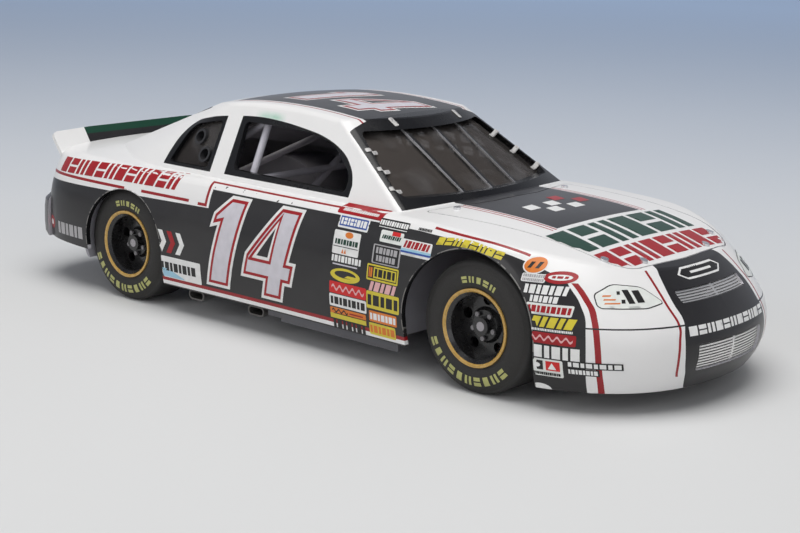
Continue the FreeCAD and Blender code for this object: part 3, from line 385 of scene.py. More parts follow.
def body_paint():
    wire, material = start("body_paint")
    x, y, z = place(wire)
    side = abs(y)
    lean = z - side + SHOULDER_Y
    nose_line = (abs(side - follow(z, PANEL_LINE)) < 0.3) & (x > 86) & z.between(8.5, 29.6)
    roof_line = (abs(side - ROOF_PANEL_Y - 1.1) < 0.25) & x.between(ROOF_PANEL_REAR_X, 11) & (z > 49)
    red = side_red(x, z, lean) | nose_line | roof_line
    black = side_black(x, z, lean) | front_panel(x, z, side) | roof_panels(x, z, side)
    rocker = z.between(7.5, 8.5) & x.between(-46, 42)
    chips = (grain(wire, 1100, 1.0) > 0.735) & lean.between(33.2, 37.4) & x.between(-27, 22)
    seam = (abs(z - SEAM_Z) < 0.16) & (x > 60)
    colour = mix(black | chips, WHITE, BLACK)
    colour = mix(rocker, colour, WHITE)
    colour = mix(red, colour, RED)
    smear = near(x, -17.0, 5.5) * near(z, 51.8, 1.5) * (y < 0) * grain(wire, 300, 3.0)
    colour = mix(smear * 1.6, colour, SMEAR_GREEN)
    colour = mix(seam, colour, SEAM)
    colour = mix(outward(wire, x, y, z), INSIDE, colour)
    # painted highlight: a patchy lighter grey ring just outside each wheel-arch edge, for the light caught
    # on the arch lip
    patchy = arch_discs(x, z, 0.34) & (grain(wire, 500, 3.0) > 0.46)
    colour = mix(patchy * 0.6, colour, DUST_AND_RIM_HIGHLIGHT)
    frames = window_frames(x, y, z, side) | arch_discs(x, z, 0.1)
    return gloss_paint(wire, material, mix(frames, colour, TRIM), frames)


SHELL = ("body_shell", "front_bumper_cover", "rear_bumper_cover")
painted = body_paint()
for name in SHELL:
    dress(name, painted)
print("body painted")

# %% [markdown]
# ## Hood and spoiler
# The hood is a piece of its own, so it has its own paint: white, with the black panel that starts at
# the screen and two pin lines beside it. The spoiler is white at its ends and black between, with a
# green band along its top edge.

# %% Hood and spoiler paint
def hood_paint():
    wire, material = start("hood_paint")
    x, y, z = place(wire)
    side = abs(y)
    panel = (side < HOOD_PANEL_Y) & (x < HOOD_PANEL_X)
    pins = ((abs(side - 17.2) < 0.26) | (abs(side - 18.5) < 0.22)) & (x < HOOD_PANEL_X + 0.4)
    colour = mix(pins, mix(panel, WHITE, BLACK), PIN_RED)
    faces = wire.node("TexCoord", output="Normal")
    below = wire.node("SeparateXYZ", inputs={0: faces}).also(2) < 0
    return gloss_paint(wire, material, mix(below, colour, INSIDE))


def spoiler_paint():
    wire, material = start("spoiler_paint")
    x, y, z = place(wire)
    middle = abs(y) < 20.2
    return gloss_paint(wire, material, mix(middle & (z > 38.3), mix(middle, WHITE, BLACK), GREEN))


dress("hood_panel", hood_paint())
dress("rear_spoiler", spoiler_paint())
print("hood and spoiler painted")

# %% [markdown]
# ## Plain moulded and painted pieces
# Under the shell most pieces are moulded plastic, some brushed over with satin paint. One function
# makes them all: a base colour that drifts a little, a fine grain in the roughness and a shallow bump.

# %% Moulded plastic
def moulded(name, colour, rough=0.5, metal=0.0, depth=0.03, scale=400, drift=0.25):
    wire, material = start(name)
    cloud = grain(wire, scale * 0.2, 4.0)
    fine = grain(wire, scale * 4, 2.0)
    dark = tuple(c * (1 - drift) for c in colour)
    pale = tuple(min(1.0, c * (1 + drift)) for c in colour)
    return seal(wire, material, Base_Color=mix(cloud, dark, pale), Roughness=fine * 0.2 + (rough - 0.1),
                Metallic=metal, Normal=bumped(fine, depth, 0.6))


satin_black = moulded("satin_black", (0.022, 0.022, 0.024), 0.42)
charcoal = moulded("charcoal_plastic", (0.09, 0.09, 0.10), 0.5)
chassis_grey = moulded("chassis_grey", (0.36, 0.355, 0.39), 0.55)
cage_grey = moulded("cage_grey", (0.50, 0.49, 0.54), 0.45)
silver = moulded("silver_paint", (0.74, 0.73, 0.72), 0.34, metal=0.7)
steel = moulded("exhaust_steel", (0.11, 0.105, 0.10), 0.40, metal=0.5, drift=0.4)
foil = moulded("bare_foil", (0.75, 0.75, 0.77), 0.22, metal=0.9, depth=0.08)

FINISHES = (
    (chassis_grey, "chassis_pan"),
    (charcoal, "frame_rails dashboard side_skirts driver_seat"),
    (cage_grey, "cage_hoop cage_sides cage_door_bars cage_cross_bars cage_braces driveshaft"),
    (satin_black, "front_crossmember rear_axle_housing trailing_arms spindle_left spindle_right"),
    (satin_black, "quarter_duct_rings steering_wheel"),
    (silver, "air_cleaner grille_upper grille_lower"),
    (steel, "exhaust_pipes"),
    (foil, "hood_pins"),
)
for finish, names in FINISHES:
    for name in names.split():
        dress(name, finish)
    print(finish.name, "on", names)

# %% [markdown]
# The engine is one moulding, painted in parts: red block, bright valve covers with ribs, and a bare metal
# gearbox and intake. The heads lean outwards, so the covers are found along a leaning axis. The
# radiator has fins, a fast wave across it, with painted shade in the troughs between them, and the fuel
# cell is black with bright straps.

# %% Engine, radiator and fuel cell
LEAN = math.radians(40)
ENGINE_RED = (0.33, 0.035, 0.025)
COVER_METAL = (0.60, 0.60, 0.62)
BARE_METAL = (0.30, 0.30, 0.31)


def engine_finish():
    wire, material = start("engine_paint")
    x, y, z = place(wire)
    side = abs(y)
    up_head = (side - 7.0) * math.sin(LEAN) + (z - 22.0) * math.cos(LEAN)
    covers = (up_head > 1.9) & (side > 4.2) & (x > 40)
    bare = (x < 39.8) | ((z > 23.1) & (side < 4.1)) | (x > 68)
    ribs = wave(x * 2.2) * covers
    cast = grain(wire, 1800, 2.0)
    colour = mix(bare, mix(covers, ENGINE_RED, COVER_METAL), BARE_METAL)
    return seal(wire, material, Base_Color=colour, Roughness=cast * 0.25 + 0.28,
                Metallic=(covers | bare) * 0.7, Normal=bumped(cast * 0.3 + ribs, 0.12))


def radiator_finish():
    wire, material = start("radiator_core")
    x, y, z = place(wire)
    fins = wave(y * 9.0)
    core = (abs(y) < 12.9) & (abs(z - 21) < 5.0)
    # painted shade and highlight: the core is darker in the troughs between the fins and lighter on their
    # crests
    colour = mix(fins * core * 0.5 + 0.5, (0.012, 0.012, 0.012), (0.13, 0.12, 0.11))
    return seal(wire, material, Base_Color=colour, Roughness=0.5, Normal=bumped(fins * core, 0.15))


def fuel_cell_finish():
    wire, material = start("fuel_cell_paint")
    x, y, z = place(wire)
    straps = abs(abs(y) - 6) < 1.05
    patchy = grain(wire, 900, 3.0)
    return seal(wire, material, Base_Color=mix(straps, (0.02, 0.02, 0.021), (0.55, 0.55, 0.57)),
                Roughness=patchy * 0.25 + 0.3, Metallic=straps * 0.7, Normal=bumped(patchy, 0.03))


dress("engine", engine_finish())
dress("radiator", radiator_finish())
dress("fuel_cell", fuel_cell_finish())
print("engine, radiator and fuel cell painted")

# %% [markdown]
# ## Clear parts
# The windows are thin clear plastic. A full refracting glass is slow and noisy on a sheet this thin, so
# each pane mixes a tinted see-through shader with a mirror, by how steeply we look at it: Fresnel gives
# a faint reflection head-on and a strong one at a low angle, as on the real screen. The plastic of a kit
# is a little hazy in patches, and there the mirror takes a larger share.

# %% Window panes
HAZE_COLOUR = (0.12, 0.112, 0.108)


def clear_pane(name, tint, gloss):
    wire, material = start(name)
    haze = grain(wire, 75, 2.5)
    through = wire.node("BsdfTransparent", inputs={"Color": tint})
    mirror = wire.node("BsdfPrincipled", inputs={"Base Color": HAZE_COLOUR, "Roughness": haze * 0.1 + 0.1,
                                                 "Specular IOR Level": 0.8})
    glance = wire.node("Fresnel", inputs={"IOR": 1.5})
    smears = (haze > 0.50) * (haze - 0.50) * 3.2
    pane = wire.node("MixShader", inputs={0: glance * gloss + smears + 0.015, 1: through, 2: mirror})
    wire.node("OutputMaterial", inputs={"Surface": pane})
    return material


for pane, tint, gloss in (("windshield", (0.88, 0.85, 0.83), 0.9), ("rear_window", (0.82, 0.80, 0.78), 1.0),
                          ("quarter_windows", (0.82, 0.80, 0.80), 1.2)):
    dress(pane, clear_pane(pane + "_plastic", tint, gloss))
print("panes cleared")

# %% [markdown]
# ## Straps and net
# The three straps on the windshield are dark, with a painted highlight in bright silver metal along one
# edge of each, and the driver's net is woven, so it gets a weave from two crossed waves.

# %% Strap and net finishes
def woven(name, colour):
    wire, material = start(name)
    x, y, z = place(wire)
    weave = wave(x * 9.0) * wave(z * 9.0)
    shaded = mix(weave * 0.5 + 0.5, tuple(c * 0.5 for c in colour), colour)
    return seal(wire, material, Base_Color=shaded, Roughness=0.85, Normal=bumped(weave, 0.12))


STRAP_EDGES_Y = (-10.42, -0.42, 9.58)


def strap_metal():
    """Black metal with a painted highlight, a bright silver line, along one edge of each strap."""
    wire, material = start("strap_metal")
    x, y, z = place(wire)
    patchy = grain(wire, 900, 2.0)
    edges = [abs(y - edge) < 0.09 for edge in STRAP_EDGES_Y]
    bright = edges[0] | edges[1] | edges[2]
    return seal(wire, material, Base_Color=mix(bright, (0.02, 0.02, 0.021), (0.75, 0.75, 0.77)),
                Roughness=patchy * 0.2 + 0.2, Metallic=bright * 0.8)


dress("windshield_braces", strap_metal())
dress("window_net", woven("net_webbing", (0.035, 0.034, 0.038)))
print("straps and net done")

# %% [markdown]
# ## Wheels and tyres
# Each wheel is glossy black with an amber-gold ring round its edge and a silver hub. The ring is a band
# of radius, measured from the wheel's own axle. The tyre is dull vinyl, scuffed on the walls, with two
# thin moulded ribs that are bands of radius too.

# %% Wheel and tyre finishes
def middle_of(node):
    low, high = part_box(node)
    return (low + high) / 2 / MM


def wheel_place(wire, node):
    """Distance from the wheel's axle and from the middle of the car, in millimetres."""
    x, y, z = place(wire)
    hub = middle_of(node)
    return ((x - hub.x) ** 2 + (z - hub.z) ** 2) ** 0.5, abs(y)


def wheel_paint(node):
    wire, material = start(node + "_paint")
    radius, out = wheel_place(wire, node)
    ring = radius.between(8.0, 8.98) & (out > 35)
    cap = (radius < 1.05) & (out > 33.5)
    nuts = radius.between(2.2, 3.6) & (out > 33.45)
    patchy = grain(wire, 700, 3.0)
    gold = mix(patchy, (0.42, 0.24, 0.05), (0.60, 0.38, 0.10))
    colour = mix(ring, (0.012, 0.0115, 0.012), gold)
    colour = mix(nuts, colour, (0.20, 0.19, 0.20))
    colour = mix(cap, colour, (0.36, 0.34, 0.36))
    return seal(wire, material, Base_Color=colour, Roughness=patchy * 0.2 + 0.18, Metallic=cap * 0.5,
                Normal=bumped(patchy, 0.02, 0.5), Coat_Weight=0.3)


def tyre_vinyl(node):
    wire, material = start(node + "_vinyl")
    radius, _ = wheel_place(wire, node)
    ribs = (abs(radius - 13.35) < 0.10) | (abs(radius - 9.75) < 0.10)
    scrub = grain(wire, 260, 5.0, 0.7)
    fine = grain(wire, 2600, 2.0)
    wall = mix(scrub, (0.012, 0.011, 0.010), (0.025, 0.023, 0.021))
    colour = mix(radius > 14.2, wall, (0.024, 0.023, 0.022))
    return seal(wire, material, Base_Color=colour, Roughness=fine * 0.2 + scrub * 0.15 + 0.48,
                Normal=bumped(ribs + fine * 0.15 + scrub * 0.3, 0.10, 0.8))


wheels = [end + hand for end in ("front_", "rear_") for hand in ("left", "right")]
for where in wheels:
    dress("rim_" + where, wheel_paint("rim_" + where))
    dress("tyre_" + where, tyre_vinyl("tyre_" + where))
print("wheels:", wheels)

# %% [markdown]
# ## Decals
# The numbers and small signs on a kit are printed film that lies on the paint. We build them the same
# way: draw a shape flat, fill it with small triangles, then drop every corner onto the body along a
# ray and lift it by a few hundredths of a millimetre. Small triangles let the film follow the curve.
# A Shrinkwrap modifier could do it too, but a ray keeps the drawing true when seen from the front.

# %% Flat shapes
FILM = 0.035
PITCH = 1.1


def rounded(corners):
    """Closed outline through corners (u, v, radius), its corners turned into arcs."""
    outline = []
    count = len(corners)
    for i, (u, v, radius) in enumerate(corners):
        here = Vector((u, v))
        if not radius:
            outline.append(here)
            continue
        before = (Vector(corners[i - 1][:2]) - here).normalized()
        after = (Vector(corners[(i + 1) % count][:2]) - here).normalized()
        half = before.angle(after) / 2
        centre = here + (before + after).normalized() * (radius / math.sin(half))
        first = here + before * (radius / math.tan(half)) - centre
        last = here + after * (radius / math.tan(half)) - centre
        sweep = first.angle_signed(last)
        steps = max(3, int(abs(sweep) / 0.14))
        for k in range(steps + 1):
            outline.append(centre + Matrix.Rotation(-sweep * k / steps, 2) @ first)
    return outline


def block(u0, u1, v0, v1, radius=0.0, slant=0.0):
    """Rectangle, its top pushed sideways by the slant."""
    return rounded([(u0, v0, radius), (u1, v0, radius), (u1 + slant, v1, radius), (u0 + slant, v1, radius)])


def outline_of(*corners):
    return [Vector(corner) for corner in corners]


def on_oval(u, v, wide, tall, turn):
    """The point of an oval at a turn in radians."""
    return Vector((u + wide * math.cos(turn), v + tall * math.sin(turn)))


def oval(u, v, wide, tall, sides=28):
    return [on_oval(u, v, wide, tall, math.tau * k / sides) for k in range(sides)]


def grown(outline, by):
    """Outline moved outwards by a distance (inwards if negative), drawn anticlockwise."""
    moved = []
    count = len(outline)
    for i, here in enumerate(outline):
        into = (here - outline[i - 1]).normalized()
        out = (outline[(i + 1) % count] - here).normalized()
        a = Vector((into.y, -into.x))
        b = Vector((out.y, -out.x))
        side = (a + b).normalized()
        moved.append(here + side * (by / max(0.35, side.dot(a))))
    return moved


print("shapes can be drawn")

# %% [markdown]
# The outline is cut into short steps and a grid of points is laid inside it. Blender's own
# triangulation then joins them all and keeps the outline's edges. It also fills holes and hollows, so
# every triangle whose middle lies outside the shape is thrown away.

# %% Filling shapes with triangles
def inside(point, outlines):
    """Whether a line from the point crosses the outlines an odd number of times."""
    hits = 0
    for outline in outlines:
        for i, b in enumerate(outline):
            a = outline[i - 1]
            if (a.y > point.y) != (b.y > point.y):
                if point.x < (b.x - a.x) * (point.y - a.y) / (b.y - a.y) + a.x:
                    hits += 1
    return hits % 2 == 1


def filled(outlines, pitch):
    """Points and triangles that fill outlines; an outline inside another is a hole."""
    points, edges = [], []
    for outline in outlines:
        first = len(points)
        for i, here in enumerate(outline):
            step = outline[(i + 1) % len(outline)] - here
            cuts = max(1, int(step.length / pitch))
            points += [here + step * (k / cuts) for k in range(cuts)]
        edges += [(i, i + 1) for i in range(first, len(points) - 1)] + [(len(points) - 1, first)]
    low = Vector((min(p.x for p in points), min(p.y for p in points)))
    high = Vector((max(p.x for p in points), max(p.y for p in points)))
    for i in range(1, int((high.x - low.x) / pitch) + 1):
        for k in range(1, int((high.y - low.y) / pitch) + 1):
            spot = low + Vector((i * pitch, k * pitch))
            if inside(spot, outlines):
                points.append(spot)
    corners, _, faces, *_ = delaunay_2d_cdt(points, edges, [], 0, 1e-5)
    kept = [f for f in faces if inside(sum((corners[i] for i in f), Vector((0, 0))) / len(f), outlines)]
    return corners, kept


print("shapes can be filled")

# %% [markdown]
# Each printed colour is a thin gloss film. The ink has a little mottle and the film's gloss is
# lower than the paint's.

# %% Printed film
def film(name, colour):
    wire, material = start("film_" + name)
    mottle = grain(wire, 500, 3.0)
    pale = tuple(min(1.0, c * 1.12) for c in colour)
    dark = tuple(c * 0.86 for c in colour)
    return seal(wire, material, Base_Color=mix(mottle, dark, pale), Roughness=mottle * 0.12 + 0.28,
                Specular_IOR_Level=0.3, Coat_Weight=0.12)


INKS = {
    "white": (0.80, 0.80, 0.79), "red": (0.35, 0.012, 0.017), "black": (0.018, 0.017, 0.017),
    "lilac": (0.62, 0.60, 0.65), "yellow": (0.66, 0.55, 0.05), "orange": (0.70, 0.20, 0.03),
    "blue": (0.045, 0.10, 0.36), "green": (0.014, 0.055, 0.036), "grey": (0.42, 0.41, 0.42),
    "lime": (0.44, 0.44, 0.16), "pearl": (0.76, 0.78, 0.75), "pink": (0.74, 0.42, 0.43),
    "sky": (0.34, 0.58, 0.72), "scarlet": (0.62, 0.022, 0.022), "silver": (0.55, 0.54, 0.53),
}
inks = {name: film(name, colour) for name, colour in INKS.items()}
ink_order = list(INKS)
print("inks:", len(inks))

# %% [markdown]
# A Decals object gathers shapes of several inks into one piece. It knows the surface they lie on and the
# plane they are drawn in: `across` and `up` point the way a viewer sees them. A ray from far outside
# finds where each corner lands, and a higher layer lies a little further off the paint.

# %% Dropping shapes onto the body
FAR_OUT = 120


def ride_along(name, mesh, body):
    """Put a mesh in the scene as a piece that moves with a body of the frame."""
    mesh.shade_smooth()
    made = bpy.data.objects.new(name, mesh)
    bpy.context.scene.collection.objects.link(made)
    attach(made, body)
    print(name, len(mesh.polygons), "faces")
    return made


class Decals:
    def __init__(self, surfaces, across, up, origin=(0, 0, 0)):
        self.across, self.up = Vector(across), Vector(up)
        self.out = self.across.cross(self.up)
        self.origin = Vector(origin)
        self.trees = [self.tree_of(nodes[name]) for name in surfaces]
        self.points, self.faces, self.colours = [], [], []

    @staticmethod
    def tree_of(piece):
        corners = [piece.matrix_world @ v.co / MM for v in piece.data.vertices]
        return BVHTree.FromPolygons(corners, [p.vertices for p in piece.data.polygons])

    def drop(self, u, v, lift):
        spot = self.origin + self.across * u + self.up * v + self.out * FAR_OUT
        hits = [tree.ray_cast(spot, -self.out, 2 * FAR_OUT) for tree in self.trees]
        hits = [hit for hit in hits if hit[0]]
        if not hits:
            return None
        where, normal, _, _ = min(hits, key=lambda hit: hit[3])
        return where + (normal if normal.dot(self.out) > 0 else -normal) * lift

    def add(self, ink, *outlines, layer=1, pitch=PITCH):
        corners, faces = filled(outlines, pitch)
        dropped = [self.drop(c.x, c.y, FILM * layer) for c in corners]
        first = len(self.points)
        self.points += [p or Vector((0, 0, 0)) for p in dropped]
        for face in faces:
            if all(dropped[i] for i in face):
                self.faces.append([first + i for i in face])
                self.colours.append(ink_order.index(ink))

    def piece(self, name, body, slot="white_plastic"):
        used = sorted({i for face in self.faces for i in face})
        renumbered = {old: new for new, old in enumerate(used)}
        mesh = bpy.data.meshes.new(name)
        mesh.from_pydata([self.points[i] * MM for i in used], [],
                         [[renumbered[i] for i in face] for face in self.faces])
        for ink in ink_order:
            mesh.materials.append(inks[ink])
        mesh.polygons.foreach_set("material_index", self.colours)
        return ride_along(name, mesh, body)


AHEAD, ASTERN = (1, 0, 0), (-1, 0, 0)
LEFTWARDS, RIGHTWARDS = (0, 1, 0), (0, -1, 0)
UPWARDS = (0, 0, 1)
print("sheets of film can be laid")

# %% [markdown]
# ## Door numbers
# A race number fills each door: slanted block figures with a white border, a red line inside it and a
# silver-lilac fill. Any plain number does. The outlines are drawn upright by their corners, pushed
# over by the slant, and the two inner layers are the same outline moved inwards.

# %% Door numbers
SLANT = 0.25
BORDER = 0.75
FIGURE_ONE = [(0, 0), (8.3, 0), (8.3, 23.2), (1.6, 23.2), (-2.4, 18.6), (-2.4, 14.8), (0, 15.6)]
FIGURE_FOUR = [(7.2, 0), (14.4, 0), (14.4, 4.4), (16.8, 4.4), (16.8, 10.4), (14.4, 10.4), (14.4, 23.2),
               (6.6, 23.2), (-0.6, 10.6), (-0.6, 4.4), (7.2, 4.4)]
FOUR_EYE = [(7.2, 10.4), (7.2, 17.8), (3.4, 10.4)]


def figure(sheet, u, v, outline, eye=None):
    """One figure in three layers: white border, red line, lilac fill."""
    def pushed(points):
        return [Vector((u + a + b * SLANT, v + b)) for a, b in points]
    for layer, ink in enumerate(("white", "red", "lilac")):
        outlines = [grown(pushed(outline), -BORDER * layer)]
        if eye:
            outlines.append(grown(pushed(eye), BORDER * layer))
        sheet.add(ink, *outlines, layer=layer + 1)


def number(sheet, u, v, second):
    figure(sheet, u, v, FIGURE_ONE)
    figure(sheet, u + second, v, FIGURE_FOUR, FOUR_EYE)


right_sheet = Decals(SHELL, AHEAD, UPWARDS)
left_sheet = Decals(SHELL, ASTERN, UPWARDS)
number(right_sheet, -25.3, 10.1, 12.1)
number(left_sheet, -8.9, 10.1, 12.1)
print("door numbers:", len(right_sheet.faces), "faces a side")

# %% [markdown]
# ## Small signs
# Columns of small plates sit ahead of the doors and on the front fenders, each with a few plain bars, discs,
# peaks or a ribbon. Each mark is a function that fills a strip with outlines, so any sign can use it at
# any size.

# %% Marks on a sign
def bars(u0, u1, v0, v1, count=0, slant=0.0):
    """A row of plain blocks that fills a strip, wide and narrow in turn."""
    count = count or max(2, round((u1 - u0) / (v1 - v0) * 1.4))
    widths = [1.0 if i % 2 else 0.62 for i in range(count)]
    gap = 0.28
    unit = (u1 - u0) / (sum(widths) + gap * (count - 1))
    shapes = []
    u = u0
    for width in widths:
        shapes.append(block(u, u + width * unit, v0, v1, 0, slant))
        u += (width + gap) * unit
    return shapes


def leaning(u0, u1, v0, v1):
    lean = (v1 - v0) * 0.3
    return bars(u0, u1 - lean, v0, v1, 0, lean)


def peaks(u0, u1, v0, v1):
    """A row of triangles."""
    count = max(1, round((u1 - u0) / (v1 - v0)))
    unit = (u1 - u0) / count
    return [outline_of((u0 + unit * k, v0), (u0 + unit * (k + 0.86), v0), (u0 + unit * (k + 0.43), v1))
            for k in range(count)]


def ribbon(u0, u1, v0, v1):
    """A band that swings up and down across the strip."""
    wide, tall = u1 - u0, v1 - v0
    steps = 16 * max(2, round(wide / tall * 0.8))
    line = [Vector((u0 + wide * k / steps, (v0 + v1) / 2 + tall * 0.3 * math.sin(math.tau * k / 16)))
            for k in range(steps + 1)]
    half = Vector((0, tall * 0.17))
    return [[spot - half for spot in line] + [spot + half for spot in line[::-1]]]


def plate(u0, u1, v0, v1):
    return [block(u0, u1, v0, v1)]


def disc(u0, u1, v0, v1):
    return [oval((u0 + u1) / 2, (v0 + v1) / 2, (u1 - u0) / 2, (v1 - v0) / 2)]


print("marks ready")

# %% [markdown]
# A style lists the marks on a plate, the lowest film first. Each has its ink, or none where the sign
# brings its own, and its left, right, lower and upper edge as shares of the plate.

# %% Sign styles
STYLES = {
    "plain": [],
    "bars": [("", bars, 0.04, 0.96, 0.20, 0.80)],
    "bold": [("", bars, 0.0, 1.0, 0.0, 1.0)],
    "leaning": [("", leaning, 0.0, 1.0, 0.0, 1.0)],
    "bold_line": [("", bars, 0.0, 1.0, 0.34, 1.0), ("lilac", plate, 0.05, 0.9, 0.0, 0.14)],
    "tile": [("blue", plate, 0.04, 0.96, 0.16, 0.92), ("white", bars, 0.08, 0.92, 0.28, 0.80)],
    "rows": [("", bars, 0.06, 0.94, 0.56, 0.90), ("", bars, 0.06, 0.94, 0.12, 0.42)],
    "framed": [("black", plate, 0.05, 0.95, 0.06, 0.94), ("grey", bars, 0.12, 0.88, 0.54, 0.86),
               ("grey", bars, 0.16, 0.84, 0.14, 0.44)],
    "ribbon": [("", ribbon, 0.06, 0.94, 0.2, 0.8)],
    "chip": [("", leaning, 0.10, 0.90, 0.34, 0.62)],
    "crest": [("orange", disc, 0.42, 0.72, 0.72, 0.98), ("green", bars, 0.08, 0.94, 0.42, 0.64),
              ("black", plate, 0.03, 0.97, 0.31, 0.34), ("orange", peaks, 0.36, 0.56, 0.06, 0.26)],
    "banner": [("scarlet", plate, 0.50, 0.86, 0.66, 1.0), ("green", leaning, 0.08, 0.92, 0.30, 0.62)],
    "flag": [("red", leaning, 0.06, 0.94, 0.48, 0.92), ("sky", plate, 0.0, 1.0, 0.26, 0.42),
             ("blue", plate, 0.0, 1.0, 0.16, 0.28)],
    "label": [("black", plate, 0.04, 0.96, 0.12, 0.90), ("yellow", plate, 0.22, 0.94, 0.18, 0.84),
              ("orange", bars, 0.07, 0.18, 0.2, 0.8), ("black", bars, 0.26, 0.90, 0.28, 0.76)],
    "two_tone": [("yellow", plate, 0.0, 1.0, 0.0, 0.45), ("black", plate, 0.1, 1.0, 0.43, 0.50),
                 ("black", ribbon, 0.06, 0.5, 0.5, 0.95), ("red", plate, 0.55, 0.92, 0.66, 0.78)],
    "pair": [("black", plate, 0.08, 0.44, 0.36, 0.90), ("scarlet", plate, 0.52, 0.92, 0.36, 0.90),
             ("white", disc, 0.16, 0.36, 0.50, 0.76), ("white", peaks, 0.58, 0.86, 0.44, 0.82),
             ("black", bars, 0.08, 0.92, 0.08, 0.24)],
    "underlined": [("", bars, 0.03, 0.97, 0.34, 0.84), ("", plate, 0.03, 0.97, 0.08, 0.16)],
}
print("sign styles:", len(STYLES))

# %% [markdown]
# Each row of the next list is one sign: where it starts and ends along the car, its lowest and highest
# edge, the plate's colour, the colour of its marks and its style.

# %% Small signs
SIGNS = [
    (16.4, 30.4, 34.2, 36.0, "red", "white", "chip"), (17.9, 27.3, 31.2, 34.0, "white", "blue", "tile"),
    (17.4, 25.7, 25.2, 30.6, "white", "orange", "crest"),
    (17.6, 26.8, 22.7, 24.9, None, "white", "bold_line"),
    (17.3, 29.0, 15.9, 18.7, "scarlet", "pink", "ribbon"),
    (17.2, 29.0, 12.7, 15.7, "white", "black", "bars"),
    (17.3, 28.7, 9.8, 12.4, "orange", "black", "two_tone"), (18.0, 28.2, 7.4, 9.5, None, "black", "bold"),
    (30.0, 39.0, 32.9, 34.9, "black", "white", "underlined"),
    (31.4, 38.3, 30.0, 32.6, "pearl", "green", "banner"),
    (30.0, 38.4, 25.0, 29.3, "grey", "grey", "framed"),
    (28.9, 38.5, 21.0, 24.7, "yellow", "black", "label"),
    (29.8, 38.2, 18.6, 20.8, None, "pink", "leaning"),
    (29.1, 39.1, 14.4, 18.5, "yellow", "black", "bars"),
    (29.8, 38.3, 11.3, 13.9, "orange", "white", "bars"),
    (29.6, 37.7, 8.1, 11.0, "yellow", "orange", "bars"), (38.2, 47.0, 28.2, 31.7, "white", "red", "flag"),
    (41.6, 45.8, 33.8, 34.7, None, "black", "bars"), (71.0, 75.8, 27.7, 29.4, "white", "grey", "rows"),
    (72.2, 80.6, 25.5, 27.3, None, "white", "bold"), (73.8, 79.4, 23.9, 25.2, None, "white", "bold"),
    (73.3, 82.8, 21.4, 23.7, "pearl", "red", "bars"), (73.2, 84.0, 18.9, 21.1, None, "yellow", "leaning"),
    (73.4, 83.6, 18.1, 18.6, None, "white", "bold"), (74.2, 84.4, 15.4, 17.8, "red", "pink", "ribbon"),
    (74.2, 85.2, 12.3, 15.0, None, "white", "bold"), (74.4, 81.8, 8.1, 12.0, "pearl", "red", "pair"),
    (-45.8, -27.1, 9.4, 15.0, "white", None, "plain"), (-41.5, -29.0, 11.2, 13.5, None, "black", "bold"),
]
print("signs a side:", len(SIGNS))

# %% [markdown]
# The plate comes first and each mark lies a little higher, so that no two films share a surface. The oval
# signs are few and all different, so they are laid one by one. Both sides get the same signs, at
# mirrored places.

# %% Laying the signs
SHOULDER_START = 32.5
SHOULDER_PITCH = 0.35


def lay_sign(sheet, flip, u0, u1, v0, v1, ground, mark, style):
    """A plate with its marks; above the shoulder the film is cut finer, because the body curves there."""
    u0, u1 = sorted((flip * u0, flip * u1))
    wide, tall = u1 - u0, v1 - v0
    pitch = SHOULDER_PITCH if v0 > SHOULDER_START else PITCH
    if ground:
        sheet.add(ground, block(u0, u1, v0, v1, min(0.35, tall * 0.2)), pitch=pitch)
    for depth, (ink, shape, left, right, low, high) in enumerate(STYLES[style]):
        for outline in shape(u0 + wide * left, u0 + wide * right, v0 + tall * low, v0 + tall * high):
            sheet.add(ink or mark, outline, layer=2 + 0.5 * depth, pitch=pitch)


def round_signs(sheet, flip):
    """The few oval plates and their marks."""
    sheet.add("yellow", oval(flip * 22.2, 20.5, 4.7, 1.6), oval(flip * 22.2, 20.7, 3.4, 0.85))
    sheet.add("yellow", block(*sorted((flip * 22.0, flip * 25.2)), 20.0, 20.6, 0, 1.0), layer=2)
    disc_u, oval_u = flip * 72.8, flip * 78.2
    sheet.add("white", oval(disc_u, 31.0, 2.3, 1.75))
    sheet.add("orange", oval(disc_u, 31.0, 2.05, 1.5), layer=2)
    for u in (flip * 72.6 - 0.75, flip * 72.6 + 0.75):
        sheet.add("black", block(u - 0.35, u + 0.35, 30.4, 31.6, 0, 0.4), layer=3)
    sheet.add("red", oval(oval_u, 28.9, 2.9, 1.2), layer=2)
    sheet.add("white", oval(oval_u, 28.9, 2.1, 0.55), layer=3)
    for outline in bars(oval_u - 1.4, oval_u + 1.4, 28.7, 29.15, 3):
        sheet.add("red", outline, layer=4)
    sheet.add("red", oval(flip * -88.6, 16.3, 1.8, 1.8))
    sheet.add("white", [on_oval(flip * 76.6, 5.0, 2.3, 1.25, math.pi * k / 12) for k in range(13)])


for sheet, flip in ((right_sheet, 1), (left_sheet, -1)):
    for sign in SIGNS:
        lay_sign(sheet, flip, *sign)
    round_signs(sheet, flip)
print("with signs:", len(right_sheet.faces), "faces a side")

# %% [markdown]
# ## Bands of blocks
# Large slanted blocks run along the quarter panels, across the hood and over the front wheel: whole, split
# level and split upright in turn. Chevrons fill the small gap behind the rear wheel. A row that follows a
# sloping edge is drawn level and then lifted.

# %% Blocks and chevrons
SPLITS = (((0, 1, 0, 1),), ((0, 1, 0, 0.43), (0, 1, 0.57, 1)), ((0, 0.4, 0, 1), (0.6, 1, 0, 1)))


def band(u0, u1, v0, v1, count, slant=0.0):
    """Slanted blocks in a row, each whole or split in two."""
    unit = (u1 - u0) / (count + 0.2 * (count - 1))
    tall = v1 - v0
    shapes = []
    for i in range(count):
        for left, right, low, high in SPLITS[i % 3]:
            a, b = [u0 + (i * 1.2 + share) * unit + slant * low for share in (left, right)]
            shapes.append(block(a, b, v0 + tall * low, v0 + tall * high, 0, slant * (high - low)))
    return shapes


